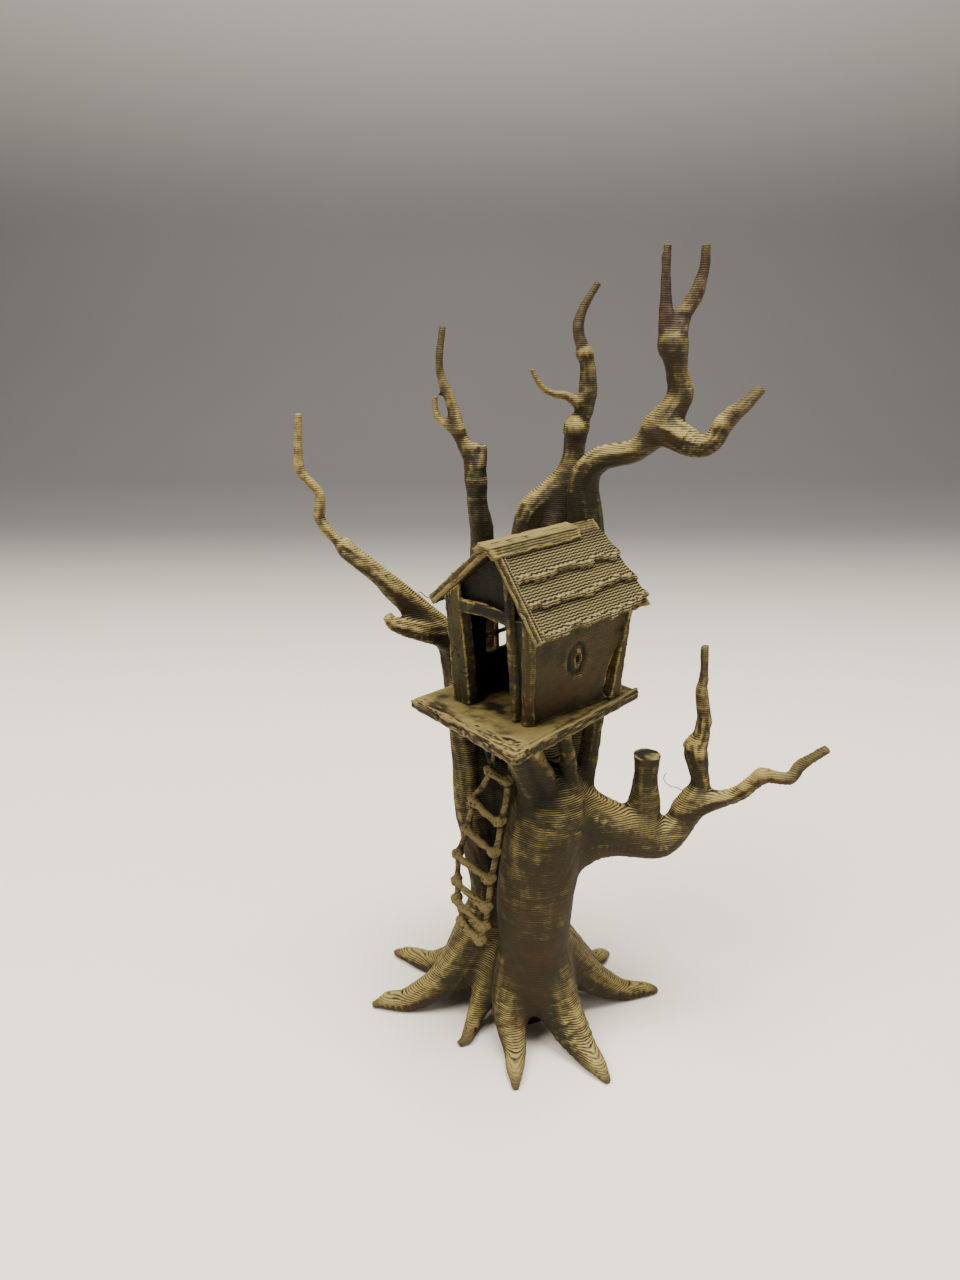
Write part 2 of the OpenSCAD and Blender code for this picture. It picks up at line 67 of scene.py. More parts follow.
class Relief:
    """Smooth random field: a table of random values, eased between its corners with t*t*(3 - 2*t)."""

    def __init__(self, seed: int) -> None:
        """Fills the table from one seed, so that every run gives the same field."""
        self.table = np.random.default_rng(seed).uniform(-1.0, 1.0, (32, 32, 32))

    def at(self, p: Array, size: float | Sequence[float]) -> Array:
        """One layer of the field.

        Args:
            p: points, one per row.
            size: length over which the field changes, one number or one per axis.
        Returns:
            A value from -1 to 1 for each point: the eased mean of the eight table corners around it.
        """
        q = p / np.asarray(size, float)
        i = np.floor(q).astype(int)
        t = q - i
        t = t * t * (3 - 2 * t)
        out = np.zeros(len(p))
        for a in (0, 1):
            for b in (0, 1):
                for c in (0, 1):
                    w = np.abs(1 - a - t[:, 0]) * np.abs(1 - b - t[:, 1]) * np.abs(1 - c - t[:, 2])
                    out += w * self.table[(i[:, 0] + a) % 32, (i[:, 1] + b) % 32, (i[:, 2] + c) % 32]
        return out

    def layered(self, p: Array, size: float | Sequence[float], layers: int = 3) -> Array:
        """Sum of layers, each half as large and half as strong as the one before."""
        s = np.asarray(size, float)
        return sum(self.at(p + 7.3 * k, s / 2**k) / 2**k for k in range(layers))

    def line(self, run: Array, b: float, c: float, size: float, layers: int) -> Array:
        """The layered field at the points (run, b, c), as a column."""
        points = np.column_stack([run, np.full(len(run), b), np.full(len(run), c)])
        return self.layered(points, size, layers)[:, None]


RELIEF = Relief(11)


# ---------------------------------------------------------------- mesh arrays


@dataclass
class Surface:
    """Points and faces of a closed surface, in millimetres."""

    points: Array
    faces: Array  # (n, 3) or (n, 4)

    def outward(self) -> "Surface":
        """Turns all faces round if the enclosed volume, a sum of corner triple products, is negative."""
        p, f = self.points, self.faces
        volume = np.einsum("ij,ij->i", p[f[:, 0]], np.cross(p[f[:, 1]], p[f[:, 2]])).sum()
        if f.shape[1] == 4:
            volume += np.einsum("ij,ij->i", p[f[:, 0]], np.cross(p[f[:, 2]], p[f[:, 3]])).sum()
        return self if volume > 0 else Surface(p, f[:, ::-1])

    def mesh(self, name: str) -> bpy.types.Mesh:
        """Writes the surface into a new mesh, in metres."""
        f = self.faces
        if f.shape[1] == 4:
            triangle = f[:, 3] == f[:, 2]
        else:
            triangle = np.ones(len(f), bool)
        sizes = np.where(triangle, 3, 4)
        keep = np.ones(f.shape, bool)
        if f.shape[1] == 4:
            keep[triangle, 3] = False
        m = bpy.data.meshes.new(name)
        m.vertices.add(len(self.points))
        m.vertices.foreach_set("co", (self.points * MM).astype(np.float32).ravel())
        m.loops.add(int(sizes.sum()))
        m.loops.foreach_set("vertex_index", f[keep].astype(np.int32))
        m.polygons.add(len(f))
        m.polygons.foreach_set("loop_start", np.concatenate([[0], np.cumsum(sizes)[:-1]]).astype(np.int32))
        m.update(calc_edges=True)
        m.validate()
        return m


def joined(parts: Iterable[Surface]) -> Surface:
    """Several closed surfaces as one, their faces widened to four corners."""
    points, faces, n = [], [], 0
    for s in parts:
        f = s.faces if s.faces.shape[1] == 4 else np.column_stack([s.faces, s.faces[:, 2]])
        points.append(s.points)
        faces.append(f + n)
        n += len(s.points)
    return Surface(np.concatenate(points), np.concatenate(faces))


def swept(rings: Array) -> Surface:
    """A closed surface from a stack of closed profiles.

    Args:
        rings: (m, n, 3) points; profile i, point j. Neighbouring profiles are joined by quads, and each
            end is closed by a fan to the middle of its profile.
    Returns:
        The surface, with its faces outwards.
    """
    m, n, _ = rings.shape
    i, j = np.meshgrid(np.arange(m - 1), np.arange(n), indexing="ij")
    k = (j + 1) % n
    quads = np.stack([i * n + j, i * n + k, (i + 1) * n + k, (i + 1) * n + j], -1).reshape(-1, 4)
    a, b = np.arange(n), (np.arange(n) + 1) % n
    low, high = m * n, m * n + 1
    first = np.stack([b, a, np.full(n, low), np.full(n, low)], -1)
    last = np.stack([a, b, np.full(n, high), np.full(n, high)], -1)
    last[:, :2] += (m - 1) * n
    points = np.concatenate([rings.reshape(-1, 3), rings[:1].mean(1), rings[-1:].mean(1)])
    return Surface(points, np.concatenate([quads, first, last])).outward()


def node_surface(*names: str) -> Surface:
    """Copies of CAD nodes in millimetres, with the loose triangles' equal corners merged."""
    parts = []
    for name in names:
        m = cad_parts[name].data
        co = np.empty(len(m.vertices) * 3)
        m.vertices.foreach_get("co", co)
        m.calc_loop_triangles()
        tri = np.empty(len(m.loop_triangles) * 3, np.int64)
        m.loop_triangles.foreach_get("vertices", tri)
        key, back = np.unique(np.round(co.reshape(-1, 3) / MM, 4), axis=0, return_inverse=True)
        tri = back.reshape(-1)[tri].reshape(-1, 3)
        good = (tri[:, 0] != tri[:, 1]) & (tri[:, 1] != tri[:, 2]) & (tri[:, 0] != tri[:, 2])
        parts.append(Surface(key, tri[good]))
    return joined(parts)


def placed(name: str, data: bpy.types.ID) -> bpy.types.Object:
    """A new object that holds the data, linked to the scene."""
    ob = bpy.data.objects.new(name, data)
    bpy.context.scene.collection.objects.link(ob)
    return ob


def reskinned(surface: Surface, voxel: float) -> Surface:
    """One even skin round everything that the surface encloses, made by the voxel remesh at that cell size."""
    ob = placed("skin", surface.mesh("skin"))
    mod = ob.modifiers.new("skin", "REMESH")
    mod.mode = "VOXEL"
    mod.voxel_size = voxel * MM
    mod.adaptivity = 0.0
    m = bpy.data.meshes.new_from_object(ob.evaluated_get(bpy.context.evaluated_depsgraph_get()))
    co = np.empty(len(m.vertices) * 3)
    m.vertices.foreach_get("co", co)
    idx = np.empty(len(m.loops), np.int64)
    m.loops.foreach_get("vertex_index", idx)
    old = ob.data
    bpy.data.objects.remove(ob)
    bpy.data.meshes.remove(old)
    bpy.data.meshes.remove(m)
    return Surface(co.reshape(-1, 3) / MM, idx.reshape(-1, 4))


def edges_of(faces: Array) -> Array:
    """Each edge of the faces once, as a pair of point numbers."""
    e = np.concatenate([faces[:, [k, (k + 1) % faces.shape[1]]] for k in range(faces.shape[1])])
    e = np.sort(e[e[:, 0] != e[:, 1]], axis=1)
    n = int(e.max()) + 1
    key = np.unique(e[:, 0] * n + e[:, 1])
    return np.stack([key // n, key % n], -1)


def relaxed(values: Array, edges: Array, steps: int, share: float = 0.5) -> Array:
    """Moves each row a share of the way to the mean of its neighbours' rows, that many times."""
    v = values.copy() if values.ndim == 2 else values[:, None].copy()
    n = len(v)
    a, b = edges.T
    count = np.maximum(np.bincount(edges.ravel(), minlength=n), 1)[:, None]
    for _ in range(steps):
        total = np.stack([np.bincount(a, v[b, c], n) + np.bincount(b, v[a, c], n) for c in range(v.shape[1])], -1)
        v += share * (total / count - v)
    return v if values.ndim == 2 else v[:, 0]


def normals_of(s: Surface) -> Array:
    """Unit normals at the points: the faces' diagonal cross products, added up at their corners."""
    p, f = s.points, s.faces
    cross = np.cross(p[f[:, 2]] - p[f[:, 0]], p[f[:, -1]] - p[f[:, 1]])
    if f.shape[1] == 4:
        tri = f[:, 3] == f[:, 2]
        cross[tri] = np.cross(p[f[tri, 1]] - p[f[tri, 0]], p[f[tri, 2]] - p[f[tri, 0]])
    out = np.stack([sum(np.bincount(corner, cross[:, c], len(p)) for corner in f.T) for c in range(3)], -1)
    return out / np.maximum(np.linalg.norm(out, axis=1, keepdims=True), 1e-12)


def softened(names: Sequence[str], cell: float, steps: int) -> tuple[Surface, Array]:
    """CAD nodes as one even skin, smoothed that many times, and the skin's normals."""
    s = reskinned(node_surface(*names), cell)
    s.points = relaxed(s.points, edges_of(s.faces), steps)
    return s, normals_of(s)


def bell(x: Array, width: float) -> Array:
    """exp(-(x / width) squared): 1 at the middle, falling to nothing."""
    return np.exp(-((x / width) ** 2))


def ramp(x: Array, low: float, high: float) -> Array:
    """0 below low, 1 above high, eased between."""
    t = np.clip((x - low) / (high - low), 0, 1)
    return t * t * (3 - 2 * t)


# ---------------------------------------------------------------- paths


@dataclass
class Strand:
    """A round limb, root or trunk strand along control points (x, y, z, radius)."""

    name: str
    points: Sequence[Sequence[float]]
    rough: float = 1.0

    def smooth(self, steps: int = 5) -> Array:
        """Catmull-Rom curve through the control points, radius included.

        Args:
            steps: points from one control point to the next.
        Returns:
            (n, 4) points; between b and c the curve is half of
            2b + (c - a)t + (2a - 5b + 4c - d)t^2 + (3b - 3c + d - a)t^3.
        """
        p = np.asarray(self.points, float)
        a, b, c, d = p[np.r_[0, 0 : len(p) - 2]], p[:-1], p[1:], p[np.r_[2 : len(p), len(p) - 1]]
        t = (np.arange(steps) / steps)[None, :, None]
        a, b, c, d = (q[:, None, :] for q in (a, b, c, d))
        q = 0.5 * (2 * b + (c - a) * t + (2 * a - 5 * b + 4 * c - d) * t**2 + (3 * b - 3 * c + d - a) * t**3)
        return np.concatenate([q.reshape(-1, 4), p[-1:]])

    def surface(self, sides: int = 20) -> Surface:
        """Round tube: profile i is centre + radius * (cos u * side + sin u * up), square to the path."""
        q = self.smooth()
        way = np.gradient(q[:, :3], axis=0)
        way /= np.linalg.norm(way, axis=1, keepdims=True)
        side = np.cross(way, [[0.31, 0.83, 0.46]])
        side /= np.linalg.norm(side, axis=1, keepdims=True)
        up = np.cross(way, side)
        u = np.linspace(0, 2 * np.pi, sides, endpoint=False)[None, :, None]
        rings = q[:, None, :3] + q[:, None, 3:] * (np.cos(u) * side[:, None] + np.sin(u) * up[:, None])
        return swept(rings)


# ---------------------------------------------------------------- finishes


class Build:
    """Short way to add nodes to one node tree."""

    def __init__(self, tree: bpy.types.NodeTree) -> None:
        """Keeps the tree that nodes are added to."""
        self.tree = tree

    def add(self, kind: str, ins: dict | None = None, **props: object) -> bpy.types.Node:
        """Adds a node.

        Args:
            kind: the node's type name.
            ins: input name or number to a value, or to a socket that is linked to it.
            props: properties of the node.
        Returns:
            The new node.
        """
        node = self.tree.nodes.new(kind)
        for key, value in props.items():
            setattr(node, key, value)
        for key, value in (ins or {}).items():
            if isinstance(value, Socket):
                self.tree.links.new(value, node.inputs[key])
            else:
                node.inputs[key].default_value = value
        return node

    def math(self, operation: str, a: object, b: object = 0.0, c: object = 0.0) -> Socket:
        """One Math node's result."""
        return self.add("ShaderNodeMath", {0: a, 1: b, 2: c}, operation=operation).outputs[0]

    def times(self, a: object, b: object) -> Socket:
        """a * b."""
        return self.math("MULTIPLY", a, b)

    def minus(self, a: object, b: object) -> Socket:
        """a - b."""
        return self.math("SUBTRACT", a, b)

    def plus(self, a: object, b: object, c: object) -> Socket:
        """a * b + c."""
        return self.math("MULTIPLY_ADD", a, b, c)

    def vector(self, operation: str, a: object, b: object = (0, 0, 0)) -> Socket:
        """One Vector Math node's result."""
        return self.add("ShaderNodeVectorMath", {0: a, 1: b}, operation=operation).outputs[0]

    def blend(self, share: object, a: object, b: object) -> Socket:
        """Colour a turning into colour b by that share."""
        node = self.tree.nodes.new("ShaderNodeMix")
        node.data_type = "RGBA"
        node.clamp_factor = True
        for socket, value in ((node.inputs[0], share), (node.inputs[6], a), (node.inputs[7], b)):
            if isinstance(value, Socket):
                self.tree.links.new(value, socket)
            elif isinstance(value, (int, float)):
                socket.default_value = value
            else:
                socket.default_value = (*value[:3], 1.0)
        return node.outputs[2]

    def noise(self, where: object, scale: float, detail: float = 3.0, rough: float = 0.5) -> Socket:
        """Noise value from 0 to 1 at a position; scale is in waves per unit of the position."""
        ins = {"Vector": where, "Scale": scale, "Detail": detail, "Roughness": rough}
        return self.add("ShaderNodeTexNoise", ins).outputs[0]

    def steps(self, value: object, low: float, high: float) -> Socket:
        """Eased range: 0 below low, 1 above high."""
        ins = {0: value, 1: low, 2: high, 3: 0.0, 4: 1.0}
        return self.add("ShaderNodeMapRange", ins, interpolation_type="SMOOTHSTEP").outputs[0]


def group(name: str, ins: dict[str, tuple[str, object]],
          outs: dict[str, str]) -> tuple[bpy.types.NodeTree, Build, dict, dict]:
    """A new shader node group with named sockets.

    Args:
        name: the group's name.
        ins: input name to (socket type, starting value).
        outs: output name to socket type.
    Returns:
        The group, a builder for it, its inputs by name, and a place to put the sockets that feed its outputs.
    """
    tree = bpy.data.node_groups.new(name, "ShaderNodeTree")
    for key, (kind, value) in ins.items():
        s = tree.interface.new_socket(name=key, in_out="INPUT", socket_type=kind)
        if value is not None:
            s.default_value = value
    for key, kind in outs.items():
        tree.interface.new_socket(name=key, in_out="OUTPUT", socket_type=kind)
    source = tree.nodes.new("NodeGroupInput")
    return tree, Build(tree), {s.name: s for s in source.outputs if s.name}, {}


def close_group(tree: bpy.types.NodeTree, feeds: dict) -> bpy.types.NodeTree:
    """Links the named sockets to the group's outputs."""
    sink = tree.nodes.new("NodeGroupOutput")
    for key, socket in feeds.items():
        tree.links.new(socket, sink.inputs[key])
    return tree


FLOAT, COLOR, VECTOR = "NodeSocketFloat", "NodeSocketColor", "NodeSocketVector"
FULL_TURN = 6.28318


def print_lines_group() -> bpy.types.NodeTree:
    """Layer lines of a print: waves along the height, with a slow waver and an optional zigzag along Y.

    Line is (1 + cos(turn * z / pitch)) / 2; Band is noise drawn out level, for layers that took more paint.
    """
    ins = {"Position": (VECTOR, None), "Pitch": (FLOAT, 0.2), "Waver": (FLOAT, 0.1), "Weave": (FLOAT, 0.0)}
    tree, b, i, o = group("print_lines", ins, {"Line": FLOAT, "Band": FLOAT})
    part = b.add("ShaderNodeSeparateXYZ", {0: i["Position"]})
    slow = b.noise(i["Position"], 0.35, 2.0)
    z = b.plus(b.minus(slow, 0.5), i["Waver"], part.outputs[2])
    zig = b.math("PINGPONG", b.math("ADD", part.outputs[1], 50.0), 0.42)
    z = b.plus(zig, i["Weave"], z)
    turn = b.times(b.math("DIVIDE", z, i["Pitch"]), FULL_TURN)
    o["Line"] = b.plus(b.math("COSINE", turn), 0.5, 0.5)
    flat = b.vector("MULTIPLY", i["Position"], (0.11, 0.11, 1.9))
    o["Band"] = b.noise(flat, 1.0, 4.0, 0.65)
    return close_group(tree, o)


def patches_group() -> bpy.types.NodeTree:
    """Uneven paint: a base with broad patches of a second and third colour, the second in streaks that run down."""
    ins = {"Position": (VECTOR, None), "Base": (COLOR, None), "Green": (COLOR, None), "Copper": (COLOR, None),
           "Amount": (FLOAT, 0.5)}
    tree, b, i, o = group("patches", ins, {"Color": COLOR})
    broad = b.noise(i["Position"], 0.16, 3.0, 0.6)
    other = b.noise(b.vector("ADD", i["Position"], (31.0, 7.0, 3.0)), 0.22, 3.0, 0.6)
    streak = b.noise(b.vector("MULTIPLY", i["Position"], (0.8, 0.8, 0.13)), 1.0, 3.0, 0.6)
    run = b.plus(streak, 0.5, b.times(broad, 0.6))
    green = b.times(b.steps(run, 0.52, 0.68), i["Amount"])
    copper = b.times(b.steps(other, 0.5, 0.7), i["Amount"])
    o["Color"] = b.blend(copper, b.blend(green, i["Base"], i["Green"]), i["Copper"])
    return close_group(tree, o)


def dry_brush_group() -> bpy.types.NodeTree:
    """Pale paint dragged over whatever stands up, and dark paint left in whatever lies low, with painted light and
    shade in both.

    The brushed share grows with the raised attribute, the tops of the layer lines and faces that look up,
    the last as painted top light, and is broken up by noise; the wash grows with the hollow attribute,
    which also carries painted shade, and the valleys of the lines.
    """
    ins = {"Position": (VECTOR, None), "Paint": (COLOR, None), "Gold": (COLOR, None), "Wash_and_shade_tone": (COLOR, None),
           "Raised": (FLOAT, 0.0), "Crevice_and_shade": (FLOAT, 0.0), "Line": (FLOAT, 0.5), "Band": (FLOAT, 0.5),
           "Brush": (FLOAT, 0.6), "Lines": (FLOAT, 0.5)}
    tree, b, i, o = group("dry_brush", ins, {"Color": COLOR, "Brush_and_top_light": FLOAT})
    up = b.add("ShaderNodeSeparateXYZ", {0: b.add("ShaderNodeNewGeometry").outputs["Normal"]}).outputs[2]
    broken = b.noise(i["Position"], 0.55, 4.0, 0.65)
    fine = b.noise(i["Position"], 2.6, 3.0, 0.6)
    # Painted top light: faces that look up take more gold, beside the dry brush on raised edges and line tops.
    up = b.steps(up, -0.25, 0.9)
    ridge = b.times(b.minus(i["Line"], 0.45), b.plus(up, 1.1, 0.35))
    share = b.plus(i["Raised"], 1.15, b.times(up, 0.85))
    share = b.plus(ridge, i["Lines"], share)
    share = b.plus(b.minus(i["Band"], 0.5), 1.2, share)
    share = b.math("ADD", share, b.times(b.minus(broken, 0.52), 0.55))
    share = b.math("ADD", share, b.times(b.minus(fine, 0.5), 0.5))
    brushed = b.times(b.steps(share, 0.36, 1.55), i["Brush"])
    valley = b.times(b.minus(0.5, i["Line"]), b.times(i["Lines"], b.plus(up, 1.0, 0.15)))
    low = b.plus(i["Crevice_and_shade"], 0.95, valley)
    low = b.plus(b.minus(0.5, i["Band"]), 0.45, low)
    o["Color"] = b.blend(b.steps(low, 0.0, 1.0), b.blend(brushed, i["Paint"], i["Gold"]), i["Wash_and_shade_tone"])
    o["Brush_and_top_light"] = brushed
    return close_group(tree, o)


RELIEF_LAYERS = ("raised", "crevice_and_shade", "tip")


class Effects:
    """The shared shader groups, built once."""

    def __init__(self) -> None:
        """Builds the three groups."""
        self.lines = print_lines_group()
        self.patches = patches_group()
        self.brush = dry_brush_group()


@dataclass(frozen=True)
class PaintedPrint:
    """A layered print painted brown, washed dark and dry-brushed gold; the gold holds painted top light, the wash
    painted shade.
    """

    name: str
    base: Color = (0.024, 0.0165, 0.0055)
    green: Color = (0.013, 0.0185, 0.0072)
    copper: Color = (0.046, 0.021, 0.0078)
    gold: Color = (0.35, 0.262, 0.078)
    # Dark wash of the hollows, also the colour of the painted shade.
    wash_and_shade_tone: Color = (0.0055, 0.0045, 0.0025)
    tip: Color = (0.034, 0.0155, 0.0105)
    tip_gold: float = 0.2
    pitch: float = 0.27
    waver: float = 0.25
    weave: float = 0.0
    depth: float = 0.05
    brush: float = 0.8
    lines: float = 0.75
    patch: float = 0.6
    rough: tuple[float, float] = (0.62, 0.44)

    def material(self, effects: Effects) -> bpy.types.Material:
        """Builds the node material: patches, then dry brush with painted top light and wash with painted shade, a
        bump of the layer lines and pores.
        """
        mat = bpy.data.materials.new(self.name)
        mat.use_nodes = True
        mat.node_tree.nodes.clear()
        b = Build(mat.node_tree)
        where = b.vector("MULTIPLY", b.add("ShaderNodeTexCoord").outputs["Object"], (PER_MM, PER_MM, PER_MM))
        raised, crevice_and_shade, tip = (b.add("ShaderNodeAttribute", attribute_name=layer).outputs["Fac"]
                               for layer in RELIEF_LAYERS)
        lines = b.add("ShaderNodeGroup", {"Position": where, "Pitch": self.pitch, "Waver": self.waver,
                                          "Weave": self.weave}, node_tree=effects.lines)
        patches = b.add("ShaderNodeGroup", {"Position": where, "Base": (*self.base, 1.0), "Green": (*self.green, 1.0),
                                            "Copper": (*self.copper, 1.0), "Amount": self.patch},
                        node_tree=effects.patches)
        worn_gold = tuple(self.tip_gold * c for c in self.gold)
        brush = b.add("ShaderNodeGroup", {
            "Position": where, "Paint": b.blend(tip, patches.outputs["Color"], self.tip),
            "Gold": b.blend(tip, self.gold, worn_gold), "Wash_and_shade_tone": (*self.wash_and_shade_tone, 1.0), "Raised": raised, "Crevice_and_shade": crevice_and_shade,
            "Line": lines.outputs["Line"], "Band": lines.outputs["Band"], "Brush": self.brush, "Lines": self.lines,
        }, node_tree=effects.brush)
        pores = b.noise(where, 5.0, 3.0, 0.6)
        height = b.plus(lines.outputs["Line"], self.depth, b.times(pores, 0.035))
        height = b.plus(lines.outputs["Band"], 0.09, height)
        bump = b.add("ShaderNodeBump", {"Strength": 1.0, "Distance": MM, "Height": height})
        shine = b.plus(brush.outputs["Brush_and_top_light"], self.rough[1] - self.rough[0], self.rough[0])
        shine = b.plus(pores, 0.12, shine)
        shader = b.add("ShaderNodeBsdfPrincipled", {"Base Color": brush.outputs["Color"], "Roughness": shine,
                                                    "Normal": bump.outputs[0], "Specular IOR Level": 0.18})
        b.add("ShaderNodeOutputMaterial", {0: shader.outputs[0]})
        return mat


@dataclass(frozen=True)
class PlainSweep:
    """Matt paper of the floor and backdrop.

    Its colour is pale in front, darker grey towards the back and lighter again high up: painted shade and
    painted light of the studio. near and far are distances along the line of sight, low and high are
    heights, all in metres.
    """

    name: str = "paper"
    sight: tuple[float, float, float] = (*AHEAD, 0.0)
    floor: Color = (0.86, 0.765, 0.63)
    # Painted shade of the backdrop further back; top is painted light high up.
    far_shade: Color = (0.155, 0.142, 0.133)
    top: Color = (0.58, 0.53, 0.485)
    near: float = 0.07
    far: float = 0.33
    low: float = 0.14
    high: float = 0.37

    def material(self) -> bpy.types.Material:
        """Colour goes from floor to the painted shade further back with the distance along the line of sight, then to
        the painted light of top with height.
        """
        mat = bpy.data.materials.new(self.name)
        mat.use_nodes = True
        mat.node_tree.nodes.clear()
        b = Build(mat.node_tree)
        where = b.add("ShaderNodeTexCoord").outputs["Object"]
        dot = b.add("ShaderNodeVectorMath", {0: where, 1: self.sight}, operation="DOT_PRODUCT")
        away = dot.outputs["Value"]
        z = b.add("ShaderNodeSeparateXYZ", {0: where}).outputs[2]
        c = b.blend(b.steps(away, self.near, self.far), self.floor, self.far_shade)
        c = b.blend(b.steps(z, self.low, self.high), c, self.top)
        c = b.blend(b.times(b.noise(where, 9.0, 3.0), 0.05), c, (0.4, 0.38, 0.36))
        shader = b.add("ShaderNodeBsdfPrincipled", {"Base Color": c, "Roughness": 0.85})
        b.add("ShaderNodeOutputMaterial", {0: shader.outputs[0]})
        return mat


class Coat(Enum):
    """The finishes used on the model."""

    BARK = PaintedPrint("bark")
    WALLS = PaintedPrint("plaster_and_posts", base=(0.042, 0.031, 0.011), brush=0.78, lines=0.6, depth=0.03,
                         patch=0.9)
    BOARDS = PaintedPrint("deck_boards", gold=(0.28, 0.212, 0.068), brush=0.62, lines=0.6, depth=0.04)
    TILES = PaintedPrint("roof_tiles", base=(0.02, 0.0165, 0.006), gold=(0.235, 0.18, 0.063), pitch=0.28,
                         weave=0.2, waver=0.05, depth=0.09, lines=1.5, brush=0.85)
    ROPE = PaintedPrint("rope_and_rungs", gold=(0.2, 0.145, 0.05), brush=0.6, lines=0.3, depth=0.02)


class Slot(Enum):
    """Names of the material slots: bark, boards, tiles and rope; no piece here is given one."""

    BARK = "bark"
    BOARDS = "boards"
    TILES = "tiles"
    ROPE = "rope"


class Shop:
    """Makes finished pieces: writes the relief attributes, gives the coat and fixes the piece to the frame."""

    def __init__(self) -> None:
        """Builds the shared effects; materials are made when first asked for."""
        self.effects = Effects()
        self.made: dict[Coat, bpy.types.Material] = {}

    def coat(self, coat: Coat) -> bpy.types.Material:
        """The material of a coat, built once."""
        if coat not in self.made:
            self.made[coat] = coat.value.material(self.effects)
        return self.made[coat]

    def piece(self, name: str, s: Surface, coat: Coat, replaces: Sequence[str] = (),
              tip: Array | None = None, crevice_and_shade: Array | None = None, fine: float = 0.03, wide: float = 0.12,
              reach: int = 30) -> bpy.types.Object:
        """One finished piece.

        Args:
            name: the piece's name.
            s: its closed surface.
            coat: its finish.
            replaces: CAD nodes it takes the place of.
            tip: how much of the tip colour each point has.
            crevice_and_shade: extra darkness at each point, mostly painted shade.
            fine: stand-out in millimetres, against a light smoothing, that counts as an edge.
            wide: stand-out against a wide smoothing that counts as a crest.
            reach: steps of the wide smoothing.
        Returns:
            The object.
        """
        mesh = s.mesh(name)
        edges, n = edges_of(s.faces), normals_of(s)
        near = relaxed(s.points, edges, 4)
        far = relaxed(near, edges, reach)
        a = np.einsum("ij,ij->i", s.points - near, n) / fine
        c = np.einsum("ij,ij->i", s.points - far, n) / wide
        out = relaxed(0.5 * a + 0.5 * c, edges, 1)
        # The concave share is the dark wash; the darkness passed in is mostly painted shade.
        layers = {"raised": np.clip(out, 0, 1), "crevice_and_shade": np.clip(-out, 0, 1)}
        if crevice_and_shade is not None:
            layers["crevice_and_shade"] = np.clip(layers["crevice_and_shade"] + crevice_and_shade, 0, 1)
        layers["tip"] = np.zeros(len(n)) if tip is None else np.clip(tip, 0, 1)
        for key, values in layers.items():
            mesh.attributes.new(key, "FLOAT", "POINT").data.foreach_set("value", values.astype(np.float32))
        mesh.polygons.foreach_set("use_smooth", np.ones(len(mesh.polygons), bool))
        mesh.materials.append(self.coat(coat))
        ob = placed(name, mesh)
        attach(ob, "root")
        if replaces:
            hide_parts(*replaces)
        LOG.info("%s: %d points, stands for %s", name, len(s.points), ", ".join(replaces) or "nothing")
        return ob


# ---------------------------------------------------------------- the tree


@dataclass
class Knot:
    """A swelling or a dent of the bark: centre, width and height, which is negative for a dent."""

    x: float
    y: float
    z: float
    width: float
    height: float


